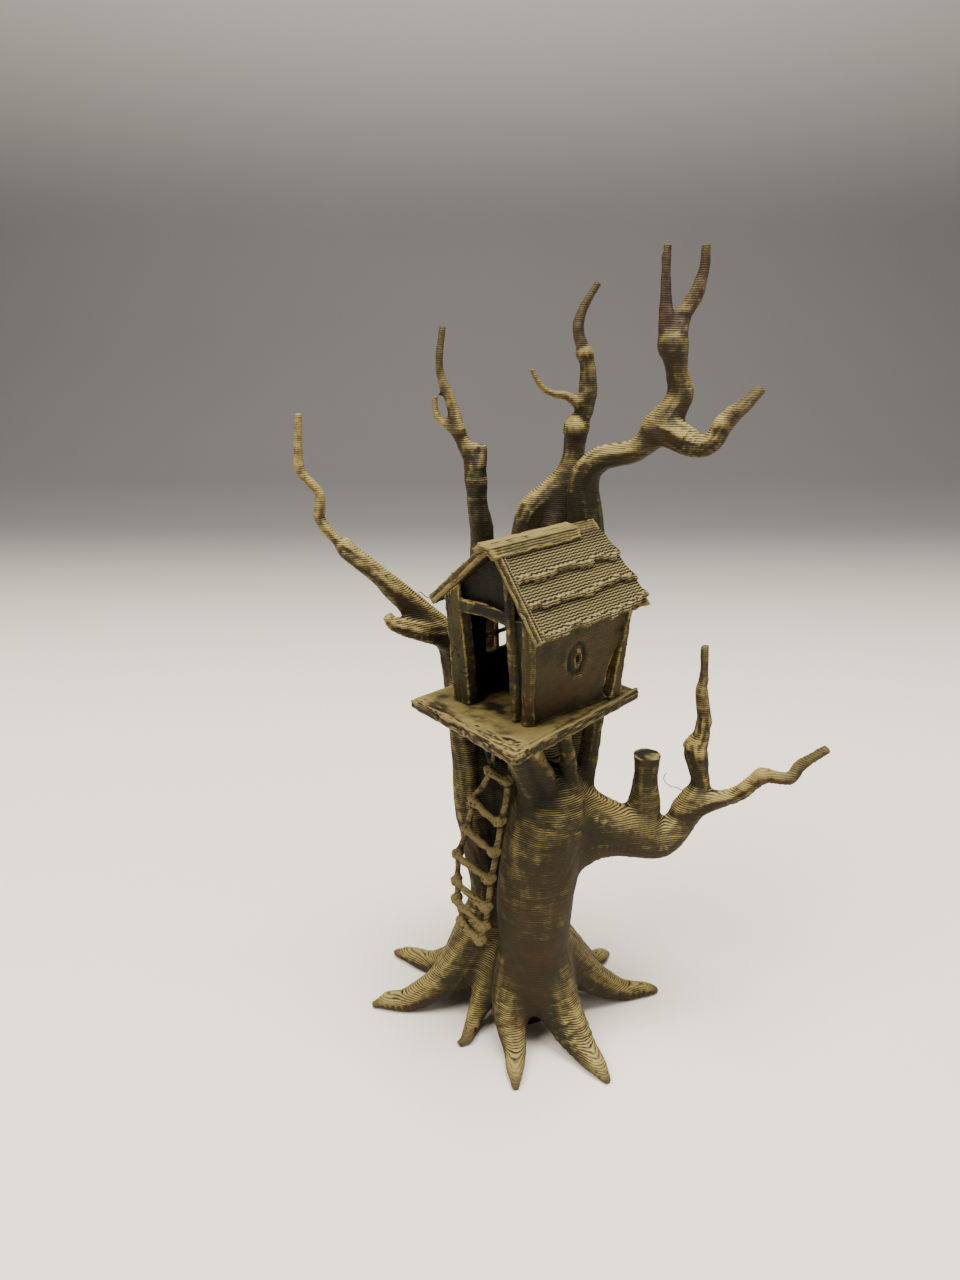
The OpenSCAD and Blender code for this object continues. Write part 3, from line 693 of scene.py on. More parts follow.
@dataclass
class Tree:
    """Trunk, roots, limbs and the struts under the deck, as one skin.

    fillet is the rounding where strands meet; ridge, lump and bud are heights of the relief, the bud's first on
    thick wood and its second added on thin.
    """

    cell: float = 0.3
    fillet: float = 0.55
    ridge: float = 0.17
    lump: float = 0.16
    bud: tuple[float, float] = (0.03, 0.13)
    strands: Sequence[Strand] = field(default_factory=lambda: TREE_STRANDS)
    knots: Sequence[Knot] = field(default_factory=lambda: TREE_KNOTS)
    nodes: Sequence[str] = (
        "trunk", "roots_left", "roots_front", "roots_back", "limb_left", "limb_mid", "limb_rear", "limb_right",
        "side_branch", "limb_low", "stump", "twig_up", "twig_out", "strut_1", "strut_2", "strut_3", "strut_4",
        "strut_5")

    def field(self, p: Array, with_ridges: bool = False) -> tuple[Array, Array, Array, Array]:
        """Rounded union of the strands; its rounding k is the fillet, nearly twice that near the ground.

        Args:
            p: points.
            with_ridges: whether to work out the bark ridges too.
        Returns:
            For each point: the distance -k * log(sum of exp(-d / k)) over the strands' own distances d;
            its direction; the ridges, noise round the strand and drawn out along it, mixed with the same
            weights; and the radius of the strand, mixed so too.
        """
        k = self.fillet * (1 + 0.9 * (1 - ramp(p[:, 2], 6, 16)))
        total = np.zeros(len(p))
        way = np.zeros((len(p), 3))
        ridge = np.zeros(len(p))
        girth = np.zeros(len(p))
        for number, strand in enumerate(self.strands):
            q = strand.smooth(4)
            low, high = q[:, :3].min(0) - q[:, 3].max() - 4, q[:, :3].max(0) + q[:, 3].max() + 4
            near = np.flatnonzero(((p > low) & (p < high)).all(1))
            if not len(near):
                continue
            x = p[near]
            best = np.full(len(x), 1e9)
            foot = np.zeros((len(x), 3))
            along = np.zeros(len(x))
            radius = np.zeros(len(x))
            run = 0.0
            for a, b in zip(q[:-1], q[1:]):
                step = b[:3] - a[:3]
                length = float(np.linalg.norm(step))
                t = np.clip((x - a[:3]) @ step / length**2, 0, 1)
                c = a[:3] + t[:, None] * step
                r = a[3] + t * (b[3] - a[3])
                d = np.linalg.norm(x - c, axis=1) - r
                new = d < best
                best[new], foot[new], radius[new] = d[new], c[new], r[new]
                along[new] = run + t[new] * length
                run += length
            w = np.exp(-np.clip(best, -12, 12) / k[near])
            out = x - foot
            out /= np.maximum(np.linalg.norm(out, axis=1, keepdims=True), 1e-9)
            total[near] += w
            way[near] += w[:, None] * out
            girth[near] += w * radius
            if with_ridges:
                place = out * 1.5 + np.outer(along / 9.0, (0.6, -0.5, 0.62)) + 3.7 * number
                value = RELIEF.layered(place, 0.62, 3) * strand.rough
                ridge[near] += w * value * np.minimum(radius, 3.2)
        total = np.maximum(total, 1e-9)
        way /= np.maximum(np.linalg.norm(way, axis=1, keepdims=True), 1e-9)
        return -k * np.log(total), way, ridge / total, girth / total

    def skin(self) -> Surface:
        """The strands' tubes reskinned, drawn onto the rounded union and reskinned again."""
        s = joined(strand.surface() for strand in self.strands)
        for cell in (self.cell * 1.5, self.cell):
            s = reskinned(s, cell)
            edges = edges_of(s.faces)
            for _ in range(3):
                d, way, _, _ = self.field(s.points)
                s.points = s.points - np.clip(d, -1.2, 1.2)[:, None] * way
                s.points = relaxed(s.points, edges, 1, 0.35)
        return s

    def carve(self, s: Surface) -> tuple[Array, Array]:
        """Moves the skin out and in: ridges along the strands, lumps, buds, knots and a flat underside.

        The tips of the roots, the top limbs and the lowest limb are dark in their own paint; the recess behind the
        ladder and the trunk under the deck get painted shade.

        Returns:
            The tip share, and the extra darkness of each point: painted shade, and a darker lowest millimetre.
        """
        p = s.points
        _, _, ridge, girth = self.field(p, True)
        n = normals_of(s)
        thin = 1 - ramp(girth, 0.7, 1.8)
        lump = RELIEF.layered(p, 5.0, 2) * self.lump * ramp(girth, 0.6, 3.0)
        bud = RELIEF.layered(p + 40, 1.5, 3) * (self.bud[0] + self.bud[1] * thin) * ramp(girth, 0.3, 0.9)
        move = self.ridge * ridge * (0.55 + 0.45 * ramp(p[:, 2], 10, 26)) + lump + bud
        for k in self.knots:
            move = move + k.height * bell(np.linalg.norm(p - (k.x, k.y, k.z), axis=1), k.width)
        deck = ramp(p[:, 2], 46.5, 48.2) * (1 - ramp(p[:, 2], 50, 52)) * (girth < 1.6)
        s.points = p + (move * (1 - deck))[:, None] * n
        s.points[:, 2] = np.maximum(s.points[:, 2], 0.0)
        x, z = s.points[:, 0], s.points[:, 2]
        far = np.linalg.norm(s.points[:, :2], axis=1)
        root_tip = (1 - ramp(z, 2.0, 4.0)) * (1 - ramp(girth, 0.55, 1.3))
        tips = np.maximum(root_tip * 0.9, ramp(z, 82, 96) * 0.95 * (1 - ramp(girth, 0.7, 1.4)))
        tips = np.maximum(tips, ramp(x, 23, 29) * 0.85)
        tips = np.maximum(tips, ramp(z, 48, 55) * ramp(x, 14, 15.5) * 0.8)
        low = 0.45 * (1 - ramp(z, 0.0, 1.0))
        across, ahead = s.points[:, :2] @ ACROSS, s.points[:, :2] @ AHEAD
        # Painted shade: the recess beside the front strand behind the ladder, and the trunk under the deck.
        recess = bell(across + 4.7, 2.0) * ramp(ahead, -4.5, -2.5) * ramp(z, 16, 22) * (1 - ramp(ahead, 6, 9))
        under = 0.8 * recess + 0.6 * ramp(z, 33, 40) * (1 - ramp(z, 47, 52)) * (1 - ramp(far, 7, 12))
        return tips, low + under

    def build(self, shop: Shop) -> None:
        """Makes the skin, carves and finishes it."""
        s = self.skin()
        tips, dark = self.carve(s)
        shop.piece("tree", s, Coat.BARK, self.nodes, tip=tips, crevice_and_shade=dark, fine=0.06, wide=0.75,
                   reach=40)


TREE_STRANDS = [
    Strand("core", [(0, 0, -2, 5), (0, 0.6, 8, 5), (-0.3, 2, 20, 4.8), (0, 2.6, 31, 5.2), (0, 2.8, 37, 5),
            (0, 2.8, 40.5, 4)], 0.3),
    Strand("front", [(4.4, -2.6, 7.6, 3.2), (4.8, -2.8, 13, 4.6), (4.6, -2.8, 20, 5.1), (4.4, -1.7, 28, 5.15),
            (4.8, 0, 34, 5.1), (4.6, 1, 38.5, 3)], 0.3),
    Strand("web", [(-4, -0.5, 16, 2.6), (-4.6, -0.4, 26, 3.2), (-5.2, -0.2, 34, 3), (-5.7, 0.2, 40, 2.2),
            (-6.2, 0.8, 45, 1.6)], 0.4),
    Strand("back", [(-2, 4, 2, 3.4), (-2.5, 4, 11, 4.6), (-2.5, 4, 20, 5.2), (-3, 5, 32, 6),
            (-4, 6, 40, 4.6)], 0.4),
    Strand("limb_left", [(-4.8, -3.4, 7, 2.4), (-5.2, -3.7, 13, 2.9), (-4.6, -2.9, 20, 2.3),
            (-6.4, -4.1, 31, 2.35), (-8.8, -3.0, 39, 2.0), (-11.5, -1.6, 46.4, 1.9), (-12.6, -1.4, 51, 1.9),
            (-12.8, -2.4, 55, 1.9), (-14.4, -6.3, 59.6, 1.8), (-15.2, -10.2, 63.8, 1.35),
            (-16.6, -12.4, 66.4, 1.2), (-18.6, -15, 69.2, 1.1), (-19.2, -15.7, 70.2, 0.7),
            (-20.6, -17.2, 73, 0.7), (-20.5, -17, 76.2, 0.6), (-21.9, -18.6, 78.8, 0.62),
            (-22.2, -18.8, 81, 0.58), (-22, -18.4, 86.6, 0.45)], 0.6),
    Strand("spur", [(-13.2, -4.6, 56.6, 1.5), (-13.2, -7.6, 57.5, 1.3), (-14.3, -10.5, 58.9, 1),
            (-14.9, -11.4, 60.2, 0.6)]),
    Strand("limb_mid", [(-4, 3, 33, 4), (-9, 4, 42, 2.7), (-12.4, 4.5, 49, 2.3), (-12.6, 4, 58, 2.1),
            (-10.2, 1.6, 69, 1.6), (-9.9, 0.3, 74, 1.3), (-9.9, -0.1, 79, 1.05), (-11.1, -1.4, 82.7, 0.8),
            (-12, -2.3, 87.5, 0.65), (-13, -3.3, 91.4, 0.5), (-12.6, -2.9, 96.7, 0.42)], 0.35),
    Strand("mid_stub", [(-9.9, -0.1, 77.6, 1), (-9.3, 0.3, 80.4, 0.75), (-9.2, 0.4, 81.9, 0.62)]),
    Strand("mid_twig", [(-11.7, -2, 84, 0.5), (-13.3, -3.4, 85.2, 0.4), (-13.6, -3.7, 88.4, 0.32)]),
    Strand("limb_rear", [(-4, 6, 33, 4), (-8.6, 10.8, 42, 2.6), (-11.5, 13.5, 49, 2.3), (-12.6, 12.6, 60, 2.1),
            (-11.5, 11.8, 70.2, 1.9), (-9.4, 14, 74, 1.65), (-7.5, 15.9, 77.3, 1.4), (-7.1, 16.4, 81.6, 1.5),
            (-7, 16.4, 82.9, 1.75), (-6.7, 16.8, 83.6, 1.15), (-6.1, 17.4, 86.8, 1.15), (-6.2, 17.3, 91.2, 1),
            (-6.5, 17, 92.6, 1.15), (-6.7, 16.8, 93.4, 0.8), (-7.2, 16.3, 95.7, 0.75), (-6.8, 16.8, 98.4, 0.6),
            (-5.4, 18.2, 101.7, 0.46)], 0.4),
    Strand("rear_twig", [(-6.6, 15.8, 86.2, 0.65), (-7.6, 14.9, 87.1, 0.6), (-9, 13.4, 87.4, 0.5),
            (-10, 12, 88.7, 0.42), (-10.9, 11, 91.2, 0.34)]),
    Strand("fork", [(-11, 13.8, 46, 2.1), (-10.6, 14, 54, 2.3), (-9.2, 14.6, 63, 2.4), (-8.8, 14.3, 68, 2.3),
            (-8.2, 15, 73, 1.8), (-7, 16, 77.4, 1.2)], 0.3),
    Strand("limb_right", [(-1, 7, 32, 4.5), (-2.2, 12.8, 42, 3), (-3.5, 16.4, 50, 2.8), (-3.8, 16.6, 60, 2.7),
            (-3.9, 15.5, 70, 2.5), (-3.6, 14.5, 76, 2.1), (-1.2, 14.6, 79.4, 1.7), (3.5, 16.5, 81, 1.55),
            (6.3, 18.1, 84.9, 1.75), (7.5, 19.3, 88, 1.65), (7.1, 18.9, 91, 1.4),
            (6.6, 18.5, 94.2, 1.35)], 0.4),
    Strand("side_branch", [(5.4, 17.6, 84, 1.6), (8.6, 18, 83, 1.75), (11, 18.6, 82, 1.5),
            (12.8, 19.2, 82.6, 1.25), (13.7, 19.7, 84.4, 1.1), (14.8, 20.2, 86, 0.95), (15.8, 20.7, 87, 0.85),
            (17.3, 22.3, 89.4, 0.6)], 0.8),
    Strand("prong_out", [(6.6, 18.5, 94, 1.25), (7, 19.2, 97, 1.05), (8.1, 20.2, 99.8, 0.92),
            (8.7, 20.7, 102.8, 0.7), (8.8, 20.7, 105.9, 0.5)], 0.4),
    Strand("prong_in", [(6.3, 18.1, 94, 1), (5.8, 17.6, 97, 0.78), (5.7, 17.4, 100, 0.7),
            (5.6, 17.3, 102.6, 0.66), (5.6, 17.3, 105.9, 0.52)], 0.8),
    Strand("shoulder", [(4.6, 1.5, 35.6, 3.4), (7.6, 4.6, 33.8, 2.9), (10.6, 8, 31.6, 2.4),
            (13, 10.6, 30, 2)], 0.3),
    Strand("limb_low", [(2.5, 1, 27, 5), (7, 4.6, 29.6, 3.7), (9.6, 7, 30, 3), (12.2, 9.8, 29.4, 2.55),
            (14.4, 12, 28.9, 2.2), (15.6, 14.6, 31.4, 2), (16.6, 15.8, 35, 1.5)], 0.35),
    Strand("twig_up", [(16.4, 15.6, 34, 1.4), (17.2, 16.3, 37.4, 1.25), (16.5, 15.7, 41.8, 1.5),
            (16.5, 15.7, 43, 1.45), (16.9, 16.1, 44.4, 1.05), (17, 16.2, 47, 0.95), (16.6, 15.7, 51, 0.85),
            (16.7, 15.8, 53, 0.6), (16.5, 15.7, 57.6, 0.5)], 0.8),
    Strand("twig_out", [(16, 15, 33.4, 1.4), (18.9, 16.4, 35.2, 1.25), (21.3, 17.8, 36.5, 1.1),
            (23.5, 18.6, 38.8, 1), (24.6, 19.4, 40.2, 1.05), (25.6, 20.1, 40.2, 0.8), (27.5, 21.3, 40.2, 0.85),
            (28.4, 22.2, 42.2, 0.75), (31.1, 23.5, 45.2, 0.6)], 0.8),
    Strand("stump", [(12, 10.4, 29.6, 2.5), (12, 11, 33.4, 2.25), (12, 11, 38.2, 1.62), (12, 11, 41, 1.75),
            (12, 11, 41.7, 1.85)], 0.3),
    Strand("root_west", [(-5, 1, 11, 2.8), (-8.4, 2.6, 5, 2.4), (-12.6, 3.8, 1.6, 1.7), (-16, 4.4, 1.3, 1.15),
            (-18.7, 5.1, 0.5, 0.35)], 0.6),
    Strand("root_left", [(-5.6, -2.8, 12, 3), (-9, -3.4, 5.6, 2.6), (-14, -5, 1.6, 1.8),
            (-18.6, -6.4, 1.3, 1.2), (-21.6, -7.2, 0.4, 0.35)], 0.6),
    Strand("root_front_left", [(-5, -4.4, 12, 3), (-6.8, -8.2, 5.8, 2.6), (-10.4, -12.8, 1.6, 1.8),
            (-12.8, -15.4, 1.3, 1.2), (-14.5, -17.2, 0.4, 0.35)], 0.6),
    Strand("root_small", [(-1, -4.2, 9, 2), (-0.8, -7.8, 4, 1.4), (-0.3, -10.2, 1.2, 0.95), (0.6, -12, 1, 0.7),
            (0.1, -13.5, 0.3, 0.3)], 0.6),
    Strand("root_front", [(3.4, -4.4, 12, 3), (4.6, -7.2, 5.4, 2.3), (7.6, -9.4, 1.6, 1.5),
            (9.8, -11.6, 1.1, 1.1), (11.6, -13.4, 0.3, 0.35)], 0.6),
    Strand("root_right", [(5.4, -2.4, 13, 3.6), (9, -2, 6, 3), (13.4, -2.2, 2, 2), (16.8, -2.8, 1.2, 1.35),
            (19.5, -3.4, 0.3, 0.35)], 0.6),
    Strand("root_east", [(4.4, 1.6, 12, 3.2), (7, 6.4, 5.4, 2.5), (9.8, 11, 1.6, 1.6), (11.8, 14, 1.1, 1.1),
            (13.2, 16.3, 0.3, 0.35)], 0.6),
    Strand("root_north", [(0.6, 4.6, 11, 3), (1.6, 9.8, 4.6, 2.2), (2.2, 13, 1.4, 1.5), (2.6, 15.6, 1.2, 1.1),
            (2.6, 17.4, 0.4, 0.35)], 0.6),
    Strand("root_rear", [(-3.6, 5, 11, 3), (-6.2, 9.4, 4.8, 2.3), (-9, 12.2, 1.4, 1.6), (-11, 13.9, 1.2, 1.1),
            (-12.3, 15, 0.4, 0.35)], 0.6),
    Strand("strut_1", [(3, -2.4, 34, 1.7), (4.6, -4.4, 39.4, 1.35), (5.6, -9.8, 49, 1.1)], 0.4),
    Strand("strut_2", [(4, -1, 34, 1.5), (6.3, -2.4, 40, 1.1), (7.3, -8, 49, 0.95)], 0.4),
    Strand("strut_3", [(5, 1.6, 34, 1.5), (6.8, 1.2, 39.6, 1.05), (7.9, -2, 49, 0.9)], 0.4),
    Strand("strut_4", [(5, 4.4, 33, 1.9), (6.2, 5.2, 39, 1.3), (7.4, 5.2, 49, 1.3)], 0.5),
    Strand("strut_5", [(-0.6, -2.6, 38, 1.4), (-2.4, -4.4, 42.4, 0.9), (-6.4, -5.6, 49, 0.8)], 0.5),
]
TREE_KNOTS = [
    Knot(-18.9, -14.6, 70, 0.8, 0.35), Knot(-15.2, -10.6, 62.8, 1.0, 0.25), Knot(-10.6, -0.3, 79, 0.8, 0.3),
    Knot(-6.2, 15.4, 82.9, 0.9, 0.35), Knot(9.4, 17, 83.4, 0.9, 0.3), Knot(13.8, 19, 85.2, 0.8, 0.4),
    Knot(22.8, 17.6, 38.4, 0.7, 0.3), Knot(24.8, 18.8, 40.6, 0.7, 0.35), Knot(27.3, 20.6, 40.9, 0.6, 0.3),
    Knot(17.6, 14.9, 42.4, 0.9, 0.3), Knot(7.2, 4.6, 33.2, 1.6, 0.4), Knot(12, 11, 42.2, 1.0, -0.35),
]


# ---------------------------------------------------------------- the hut and its platform


@dataclass
class Hut:
    """Walls, gable, posts, lintel and window bars as one modelled shell; inside is the room's x and y range."""

    cell: float = 0.16
    floor: float = 50.0
    inside: tuple[float, float, float, float] = (-4.7, 7.2, -5.9, 7.6)
    nodes: Sequence[str] = (
        "wall_front", "gable_front", "wall_back", "wall_left", "wall_right", "window_bars", "knot_ring",
        "post_flat", "post_door", "post_corner_front", "post_corner_back", "lintel")

    def knot(self) -> Array:
        """Middle of the knot's ring on the right wall."""
        low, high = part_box("knot_ring")
        return (np.array(low) + np.array(high)) / 2 / MM

    def shape(self) -> tuple[Surface, Array]:
        """The shell and its extra darkness, much of it painted shade.

        The right wall swells by a slow noise and sinks in a ring of radius 1.5 round the knot. All walls
        spread at the foot by exp(-height / 0.45). The front gets fibres, noise drawn out along the height.
        """
        s, n = softened(self.nodes, self.cell, 5)
        p = s.points
        up = p[:, 2] - self.floor
        right = ramp(n[:, 0], 0.55, 0.9) * ramp(p[:, 0], 5, 6.4)
        left = ramp(-n[:, 0], 0.55, 0.9) * (1 - ramp(p[:, 0], -5.4, -4.4))
        front = ramp(-n[:, 1], 0.4, 0.9)
        move = RELIEF.layered(p, 3.0, 2) * 0.16 * (right + left) + RELIEF.layered(p, 1.1, 3) * 0.05
        fibre = RELIEF.layered(p, (0.8, 0.8, 7.0), 3)
        move += front * fibre * 0.09
        k = self.knot()
        rho = np.hypot((p[:, 1] - k[1]) * 1.15, (p[:, 2] - k[2]) * 0.8)
        ring = bell(rho - 1.5, 0.42) * (0.6 + 0.5 * RELIEF.at(p, 1.2))
        move += right * (-0.26 * ring + 0.12 * bell(rho - 2.5, 0.6) - 0.25 * bell(rho, 0.4))
        foot = np.exp(-np.clip(up, 0, 9) / 0.45)
        side = 1 - np.abs(n[:, 2])
        move += side * foot * 0.28 * (right + left + front)
        bruise = bell(np.linalg.norm(p - (7.4, 5.2, 51.6), axis=1), 1.0)
        bruise = bruise + bell(np.linalg.norm(p - (8.6, 7.0, 60), axis=1), 0.9)
        move -= right * bruise * 0.25
        crack = bell(np.abs(RELIEF.layered(p + 11, (0.9, 0.9, 4.5), 2)), 0.045) * front * (p[:, 0] < -2.4)
        move -= crack * 0.14
        s.points = p + move[:, None] * n
        # Painted shade at the foot of the walls, at the top of the walls under the eaves and on the walls inside the
        # room; the knot's ring, the crack and the dents are darkened too.
        dark = 0.75 * np.exp(-np.clip(up, 0, 9) / 0.7)
        dark += 0.5 * ring * right + 0.55 * crack + 0.35 * bruise * right
        dark += 0.6 * ramp(p[:, 2], 62.5, 64) * (p[:, 1] > -9) * (front + 0.5)
        dark += 0.8 * bell(p[:, 0] - 5.36, 0.32) * front
        west, east, south, north = self.inside
        inside = (p[:, 0] > west) & (p[:, 0] < east) & (p[:, 1] > south) & (p[:, 1] < north)
        return s, dark + 1.0 * (inside & (np.abs(n[:, 2]) < 0.9) & (right < 0.2))

    def build(self, shop: Shop) -> None:
        """Makes and finishes the shell."""
        s, dark = self.shape()
        shop.piece("hut_walls", s, Coat.WALLS, self.nodes, crevice_and_shade=dark, wide=0.16, reach=24)


@dataclass
class Platform:
    """The deck with its rough rim, and the thinner layer of boards under it."""

    cell: float = 0.19
    cell_under: float = 0.2
    top: float = 50.0

    def deck(self) -> tuple[Surface, Array]:
        """The deck: rounded rim, chips and torn fibres that gather at the front corner, and its darkness: wash in the
        chips and crack, painted shade next to the walls and underneath.
        """
        s, n = softened(("deck",), self.cell, 4)
        p = s.points
        front = 1 - ramp(p[:, 1], -12.2, -9.2)
        torn = front * ramp(p[:, 0], -11, 4)
        edge = 1 - np.abs(n[:, 2])
        fibre = RELIEF.layered(p, (2.4, 0.55, 0.6), 3)
        chips = RELIEF.layered(p + 5, (1.2, 0.7, 0.8), 3)
        move = 0.05 * RELIEF.layered(p, 2.2, 2) + edge * 0.12 * RELIEF.layered(p, (1.8, 1.8, 0.4), 3)
        move += front * (0.11 * fibre - 0.18 * ramp(chips, 0.35, 0.8)) + torn * 0.07 * chips
        crack = bell(np.abs(RELIEF.layered(p + 23, (3.0, 0.7, 9.0), 2)), 0.06) * front * ramp(n[:, 2], 0.3, 0.8)
        move -= 0.22 * crack * ramp(p[:, 0], -4, 6)
        s.points = p + move[:, None] * n
        s.points[:, 2] = np.minimum(s.points[:, 2], self.top + 0.75)
        # Painted shade on the deck's top next to the hut's walls and on its underside.
        near = np.maximum(np.abs(p[:, 0] - 1.4) - 6.6, np.abs(p[:, 1] - 1.4) - 7.8)
        dark = 0.7 * np.exp(-np.clip(near, 0, 9) / 0.9) * (n[:, 2] > 0.5) + 0.6 * crack
        return s, dark + 0.35 * ramp(-n[:, 2], 0.3, 0.9) + 0.25 * ramp(chips, 0.35, 0.8) * front

    def under(self) -> Surface:
        """The lower boards: edges moved in and out by noise drawn out along the boards."""
        s, n = softened(("under_boards",), self.cell_under, 3)
        p = s.points
        edge = 1 - np.abs(n[:, 2])
        move = edge * 0.42 * RELIEF.layered(p, (0.9, 0.9, 3.0), 2) + 0.05 * RELIEF.layered(p, 1.2, 2)
        s.points = p + move[:, None] * n
        return s

    def build(self, shop: Shop) -> None:
        """Makes and finishes both layers."""
        s, dark = self.deck()
        shop.piece("deck_boards", s, Coat.BOARDS, ("deck",), crevice_and_shade=dark, wide=0.14, reach=20)
        s = self.under()
        dark = np.full(len(s.points), 0.35)
        shop.piece("lower_boards", s, Coat.BOARDS, ("under_boards",), crevice_and_shade=dark, fine=0.04,
                   wide=0.2, reach=20)


class Side(Enum):
    """The two slopes of the roof: which way they fall, their angle and their length."""

    RIGHT = (1.0, 52.9, 12.27)
    LEFT = (-1.0, 40.6, 13.3)


@dataclass
class Roof:
    """Boards, three rows of tiles a side, rake boards at the front and the ridge cap.

    The apex is the (x, height) where the undersides of the slopes meet; cap is how far the cap's board
    reaches down each slope, less 0.2.
    """

    cell: float = 0.19
    apex: tuple[float, float] = (2.8, 71.9)
    front: float = -10.0
    back_eave: float = 11.5
    back_ridge: float = 8.9
    board: float = 0.7
    tile: float = 0.6
    cap: float = 1.2
    cap_end: float = 4.4
    cap_out: float = 0.9

    def on(self, side: Side, s: Array, h: Array, y: Array) -> Array:
        """Points on a slope: s down from the ridge, h out from the boards' underside, y along the ridge."""
        sign, angle, _ = side.value
        a = np.radians(angle)
        x = self.apex[0] + sign * (s * np.cos(a) + h * np.sin(a))
        return np.stack([x, y, self.apex[1] - s * np.sin(a) + h * np.cos(a)], -1)

    def back(self, side: Side, s: Array) -> Array:
        """Where the slanted back edge is at s."""
        return self.back_ridge + (self.back_eave - self.back_ridge) * np.clip(s / side.value[2], 0, 1)

    def row(self, side: Side, k: int) -> tuple[Surface, Array]:
        """One row of tiles.

        The profile runs from under the row above down to a round nose and back along the boards; along y
        its nose moves by noise, which gives the wavy lower edge, and its thickness by a slower one.
        Returns:
            The surface and its painted shadow, strongest just below the row above.
        """
        sign, _, length = side.value
        run = (length - 0.7 - self.cap) / 3
        s0, s1 = self.cap + k * run - 0.35, self.cap + (k + 1) * run
        y = np.linspace(0, 1, 190)[:, None]
        wave = RELIEF.line(y[:, 0] * 21, 9.1 * k + 3 * sign, 2.2, 3.1, 3)
        ragged = RELIEF.line(y[:, 0] * 21, 5.7 * k, 8.2 * sign, 0.7, 2)
        thick = 0.1 * RELIEF.line(y[:, 0] * 21, 4.4 * k, sign, 2.4, 2)
        nose = s1 + 0.12 + 0.75 * wave + (0.16 if k == 2 else 0.04) * ragged
        t = np.linspace(0, 1, 46)[None, :]
        top_s = s0 + (nose - s0) * t
        lift = 0.3 + (self.tile - 0.3 + thick) * t**1.6 + 0.3 * bell(t - 0.93, 0.08)
        turn = np.linspace(0, np.pi, 9)[None, 1:-1]
        half = (self.tile + thick + 0.2) / 2
        nose_s, nose_h = nose + 0.16 * np.sin(turn), half + half * np.cos(turn)
        low_s = s0 + (nose - s0) * np.linspace(1, 0, 14)[None, :]
        ss = np.concatenate([top_s, nose_s, low_s], 1)
        hh = np.concatenate([lift, nose_h, np.full_like(low_s, -0.05)], 1) + self.board
        start = self.front + 0.72
        yy = start + (self.back(side, ss) - 0.25 - start) * y
        uneven = RELIEF.at(np.stack([ss, hh, yy], -1).reshape(-1, 3), 0.9).reshape(ss.shape)
        yy = yy + 0.12 * uneven * ramp(np.abs(y - 0.5), 0.45, 0.5)
        s = swept(self.on(side, ss, hh, yy))
        # Painted shadow cast by the row above on this row's upper part.
        above = np.clip(np.concatenate([(1.3 - (ss - s0) / 1.7).ravel(), [0, 0]]), 0, 1)
        s.points = s.points + 0.03 * RELIEF.layered(s.points, 0.8, 2)[:, None] * normals_of(s)
        return s, 1.1 * above

    def rake(self, side: Side) -> Surface:
        """The board along the front edge of a slope: a rounded profile carried down it, its edges uneven."""
        length = side.value[2]
        s = np.linspace(0.15, length + 0.12, 120)[:, None]
        u = np.linspace(0, 2 * np.pi, 28, endpoint=False)[None, :]
        noise = RELIEF.line(s[:, 0], 3.0, side.value[0], 1.3, 3)
        wide, tall = 0.36 + 0.06 * noise, 0.74 + 0.06 * noise
        tall = tall * (1 - 0.25 * bell(np.cos(u), 0.35))
        c, v = np.cos(u), np.sin(u)
        yy = self.front + 0.44 + wide * np.sign(c) * np.abs(c) ** 0.6
        hh = 0.62 + tall * np.sign(v) * np.abs(v) ** 0.5
        return swept(self.on(side, s + 0 * u, hh + 0 * s, yy + 0 * s))

    def boards(self, side: Side) -> tuple[Surface, Array]:
        """The CAD boards of a slope with soft, uneven edges, the eave torn behind its front end."""
        name = "roof_right" if side is Side.RIGHT else "roof_left"
        s, n = softened((name,), self.cell, 3)
        p = s.points
        sign, angle, length = side.value
        a = np.radians(angle)
        down = np.array([sign * np.cos(a), 0, -np.sin(a)])
        run = (p - (self.apex[0], 0, self.apex[1])) @ down
        eave = ramp(run, length - 1.6, length - 0.2)
        rag = RELIEF.layered(p, (1.1, 1.1, 3.0), 3)
        back = ramp(p[:, 1], self.front + 2.2, self.front + 3.2)
        shift = eave * back * (-0.3 + 0.45 * rag)
        move = 0.05 * RELIEF.layered(p, (3, 1, 1), 2)
        s.points = p + shift[:, None] * down + move[:, None] * n
        # Painted shade on the undersides of the boards.
        return s, 0.5 * ramp(-n[:, 2], 0.2, 0.8)

    def ridge(self) -> Surface:
        """The cap: a bent board whose profile runs over the ridge and back under it, its back end broken."""
        y = np.linspace(0, 1, 90)[:, None]
        noise = RELIEF.line(y[:, 0] * 14, 1.0, 6.0, 1.2, 3)
        a = self.cap + 0.2 + 0.08 * noise
        t = np.linspace(0, 1, 22)[None, :]
        rim = 0.13 * bell(t - 0.05, 0.05) + 0.12 * bell(t - 0.93, 0.06)
        over, under = self.board + 0.62 + rim + 0 * y, self.board + 0.02 + 0 * y + 0 * t
        parts = []
        for side, height, order in ((Side.LEFT, over, -1), (Side.RIGHT, over, 1),
                                    (Side.RIGHT, under, -1), (Side.LEFT, under, 1)):
            ss, hh = (a * t)[:, ::order], height[:, ::order]
            broken = RELIEF.layered(np.stack([ss, hh, ss * 0], -1).reshape(-1, 3), 0.6, 2).reshape(ss.shape)
            end = self.cap_end + 0.75 * broken
            yy = self.front - self.cap_out + (end - self.front + self.cap_out) * y
            parts.append(self.on(side, ss, hh, yy))
        s = swept(np.concatenate(parts, 1))
        s.points = s.points + 0.05 * RELIEF.layered(s.points, 1.0, 3)[:, None] * normals_of(s)
        return s

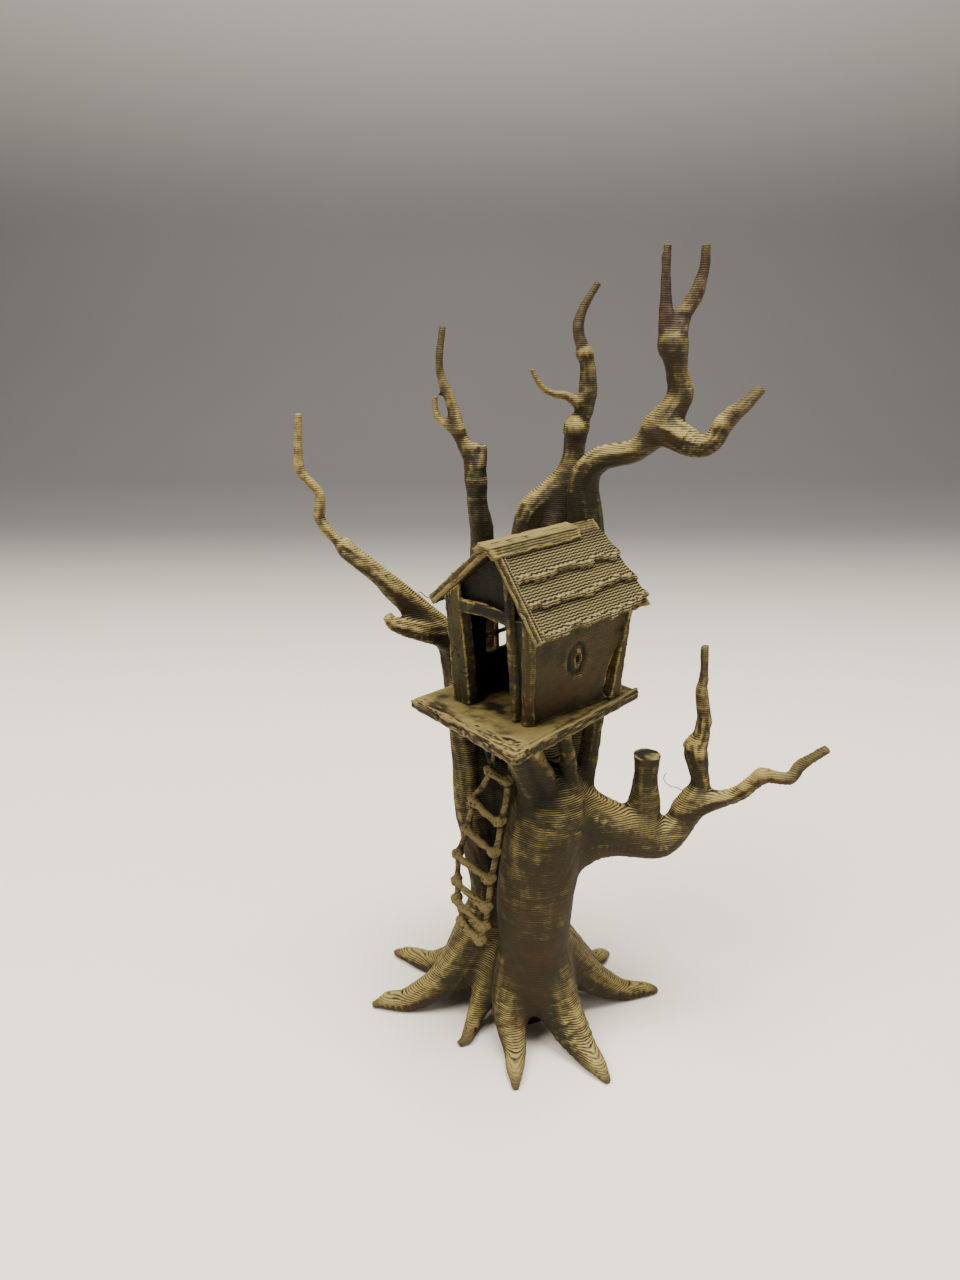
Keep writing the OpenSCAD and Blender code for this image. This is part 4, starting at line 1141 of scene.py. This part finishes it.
    def build(self, shop: Shop) -> None:
        """Makes and finishes every piece of the roof."""
        for side in Side:
            word = side.name.lower()
            s, dark = self.boards(side)
            shop.piece(f"roof_boards_{word}", s, Coat.BOARDS, (f"roof_{word}",), crevice_and_shade=dark,
                       wide=0.15, reach=20)
            for k in range(3):
                s, dark = self.row(side, k)
                shop.piece(f"tile_row_{word}_{k + 1}", s, Coat.TILES, (f"tiles_{word}_{k + 1}",),
                           crevice_and_shade=dark, fine=0.02, wide=0.09, reach=14)
            shop.piece(f"rake_board_{word}", self.rake(side), Coat.BOARDS, fine=0.02, wide=0.08,
                       reach=12)
        shop.piece("cap_board", self.ridge(), Coat.BOARDS, ("ridge_cap",), fine=0.02, wide=0.1,
                   reach=12)


# ---------------------------------------------------------------- the ladder


@dataclass
class Ladder:
    """Rope ladder: knobbly rungs of (height, length, middle, lean) with knots at both ends, and two laid ropes."""

    rungs: Sequence[tuple[float, float, float, float]] = (
        (41, 4.6, 1.2, 0.6), (35.6, 6.4, -0.1, 1.6), (31.2, 7.0, -0.5, 1.45), (27.2, 7.8, -1.1, 1.3),
        (23.3, 7.4, -0.8, 1.7), (20.6, 6.8, -0.6, 2.2), (18.3, 5.2, 0.1, 1.5))
    girth: float = 0.46
    rope: float = 0.36

    def depth(self, z: float) -> float:
        """How far forward the ladder hangs at a height."""
        return -6.3 - (41 - z) * 0.175

    def tube(self, centre: Array, radius: Array, sides: int, twist: float, strands: int) -> Surface:
        """A laid tube along a path.

        Args:
            centre: (n, 3) path.
            radius: (n,) radii.
            sides: points round.
            twist: turns of the rope's lay per millimetre.
            strands: number of strands; the radius grows by 0.16 * |cos(strands * (u - turns * run) / 2)| of
                itself, where turns is the twist in radians.
        Returns:
            The closed surface.
        """
        way = np.gradient(centre, axis=0)
        way /= np.linalg.norm(way, axis=1, keepdims=True)
        side = np.cross(way, [[0.2, 0.9, 0.35]])
        side /= np.linalg.norm(side, axis=1, keepdims=True)
        up = np.cross(way, side)
        run = np.r_[0, np.cumsum(np.linalg.norm(np.diff(centre, axis=0), axis=1))][:, None]
        u = np.linspace(0, 2 * np.pi, sides, endpoint=False)[None, :]
        r = radius[:, None] * (1 + 0.16 * np.abs(np.cos(strands * (u - 2 * np.pi * twist * run) / 2)))
        out = np.cos(u)[..., None] * side[:, None] + np.sin(u)[..., None] * up[:, None]
        return swept(centre[:, None] + r[..., None] * out)

    def rung(self, number: int) -> Surface:
        """One rung: a stick with bumps from noise, thick knots near its ends and a slight bow."""
        z, length, middle, lean = self.rungs[number]
        t = np.linspace(-0.5, 0.5, 60)
        height = z - lean * t - 0.25 * (1 - 4 * t * t)
        c = np.column_stack([middle + t * length, np.full(60, self.depth(z) - 0.45), height])
        c = c + 0.1 * np.column_stack([RELIEF.layered(c + 9 * k, 1.6, 2) for k in range(3)]) * (1, 0.7, 1)
        e = (0.5 - np.abs(t)) * length
        r = self.girth * (1 + 0.13 * RELIEF.layered(c * 1.7, 1.0, 2))
        r = r + 0.24 * bell(e - 0.75, 0.32) + 0.12 * bell(e - 1.35, 0.2)
        r *= np.sqrt(np.clip(1 - (np.clip(0.35 - e, 0, 1) / 0.36) ** 2, 0.02, 1))
        s = self.tube(c, r, 22, 0.02, 2)
        s.points = s.points + 0.1 * RELIEF.layered(s.points, (1.3, 0.35, 0.35), 3)[:, None] * normals_of(s)
        return s

    def side_rope(self, sign: int) -> Surface:
        """One rope: from under the deck through each rung's knot to a loose end, with a bead at each rung."""
        pts = [(1.2 + sign * 1.4, self.depth(48.6), 48.6)]
        pts += [(middle + sign * (long / 2 - 0.7), self.depth(z) + 0.1, z - sign * (0.5 - 0.7 / long) * lean)
                for z, long, middle, lean in self.rungs]
        pts += [(sign * 1.4, self.depth(18.6) + 1.6, 15.8)]
        q = Strand("rope", [(*p, self.rope) for p in pts]).smooth(16)
        c = q[:, :3] + 0.12 * np.column_stack([RELIEF.layered(q[:, :3] + 5 * k, 1.8, 2) for k in range(3)])
        knots = sum(bell(np.linalg.norm(c - p, axis=1), 0.5) for p in pts[1:-1])
        return self.tube(c, q[:, 3] * (1 + 0.1 * RELIEF.layered(c, 0.9, 2)) + 0.3 * knots, 20, 0.55, 3)

    def build(self, shop: Shop) -> None:
        """Makes and finishes rungs and ropes."""
        s = joined(self.rung(k) for k in range(len(self.rungs)))
        shop.piece("rungs", s, Coat.ROPE, ("ladder_rungs",), fine=0.02, wide=0.1, reach=10)
        s = joined(self.side_rope(k) for k in (-1, 1))
        shop.piece("side_ropes", s, Coat.ROPE, ("ladder_ropes",), fine=0.02, wide=0.1, reach=10)


@dataclass
class Wisps:
    """Hairs of plastic left by the print head."""

    radius: float = 0.06
    paths: Sequence[Sequence[tuple[float, float, float]]] = (
        ((16.0, 14.2, 36.6), (15.5, 13.4, 37.1), (14.6, 12.9, 37.3), (14.0, 12.3, 38.3), (14.2, 12.5, 39.2)),
        ((-7.6, -9.6, 63.7), (-8.6, -10.0, 63.9), (-9.4, -10.1, 64.3), (-9.9, -10.0, 64.2)))

    def build(self, shop: Shop) -> None:
        """Thin tubes along the paths."""
        s = joined(Strand("wisp", [(*q, self.radius) for q in p]).surface(8) for p in self.paths)
        shop.piece("print_wisps", s, Coat.ROPE, crevice_and_shade=np.full(len(s.points), 0.9))


# ---------------------------------------------------------------- floor, light and camera


@dataclass(frozen=True)
class Lamp:
    """A square soft light: its place to the right, towards the back and up, its side, its watts and its tint."""

    name: str
    place: tuple[float, float, float]
    side: float
    power: float
    tint: Color = (1, 1, 1)


@dataclass
class Studio:
    """Pale sweep, soft lights and the camera.

    The camera stands away from the part and aside to its left, at the height eye, turned by azimuth about the
    upright axis and pitched down; aim is the height that the lamps point at.
    """

    half_width: float = 1400.0
    front: float = -900.0
    back: float = 420.0
    bend: float = 260.0
    height: float = 1100.0
    azimuth: float = 46.0
    pitch: float = 20.0
    away: float = 116.0
    aside: float = 6.3
    eye: float = 100.0
    focal: float = 26.72
    aim: float = 50.0
    cells: int = 60
    room_color: Color = (0.75, 0.78, 0.82)
    room_light: float = 0.14
    lamps: Sequence[Lamp] = (
        Lamp("key", (-300, -200, 560), 300, 4.4, (1.0, 0.98, 0.94)),
        Lamp("fill", (420, -300, 330), 420, 1.1, (0.95, 0.97, 1.0)),
        Lamp("top", (40, -40, 620), 260, 7.6))

    def axes(self) -> tuple[Array, Array]:
        """The camera's right and its level line of sight."""
        a = np.radians(self.azimuth)
        return np.array([np.cos(a), np.sin(a), 0.0]), np.array([-np.sin(a), np.cos(a), 0.0])

    def sweep(self) -> None:
        """Floor, a quarter-circle bend and a wall: a profile of (distance, height) carried to the right."""
        right, sight = self.axes()
        t = np.linspace(0, np.pi / 2, 40)
        n = self.cells
        d = np.r_[np.linspace(self.front, self.back, n), self.back + self.bend * np.sin(t[1:]),
                  np.full(20, self.back + self.bend)]
        z = np.r_[np.zeros(n), self.bend * (1 - np.cos(t[1:])), np.linspace(self.bend + 20, self.height, 20)]
        w = np.linspace(-self.half_width, self.half_width, n)
        p = d[:, None, None] * sight + w[None, :, None] * right + z[:, None, None] * np.array([0, 0, 1.0])
        i, j = np.meshgrid(np.arange(len(d) - 1), np.arange(n - 1), indexing="ij")
        f = np.stack([i * n + j, i * n + j + 1, (i + 1) * n + j + 1, (i + 1) * n + j], -1).reshape(-1, 4)
        mesh = Surface(p.reshape(-1, 3), f).mesh("paper_sweep")
        mesh.polygons.foreach_set("use_smooth", np.ones(len(mesh.polygons), bool))
        mesh.materials.append(PlainSweep().material())
        placed("paper_sweep", mesh)

    def light(self, lamp: Lamp) -> None:
        """Puts a lamp in its place, turned to the part."""
        right, sight = self.axes()
        place = (lamp.place[0] * right + lamp.place[1] * sight + np.array([0, 0, lamp.place[2]])) * MM
        data = bpy.data.lights.new(lamp.name, "AREA")
        data.shape, data.size, data.energy, data.color = "SQUARE", lamp.side * MM, lamp.power, lamp.tint
        ob = placed(lamp.name, data)
        ob.location = place
        ob.rotation_euler = (Vector((0, 0, self.aim * MM)) - Vector(place)).to_track_quat("-Z", "Y").to_euler()

    def build(self) -> None:
        """Makes the sweep, lights, world and camera."""
        self.sweep()
        for lamp in self.lamps:
            self.light(lamp)
        world = bpy.data.worlds.new("room")
        world.use_nodes = True
        room = world.node_tree.nodes["Background"]
        room.inputs[0].default_value, room.inputs[1].default_value = (*self.room_color, 1), self.room_light
        bpy.context.scene.world = world
        right, sight = self.axes()
        cam = bpy.data.cameras.new("camera")
        cam.lens, cam.sensor_width, cam.sensor_fit = self.focal, 36.0, "AUTO"
        cam.clip_start, cam.clip_end = 0.005, 20.0
        ob = placed("camera", cam)
        ob.location = (-self.away * sight - self.aside * right + np.array([0, 0, self.eye])) * MM
        ob.rotation_euler = (np.radians(90 - self.pitch), 0, np.radians(self.azimuth))
        bpy.context.scene.camera = ob


def main() -> None:
    """Builds the parts in order."""
    logging.basicConfig(level=logging.INFO, format="%(name)s: %(message)s")
    shop = Shop()
    Studio().build()
    Tree().build(shop)
    for part in (Hut(), Platform(), Roof(), Ladder(), Wisps()):
        part.build(shop)


if __name__ == "__main__":
    main()
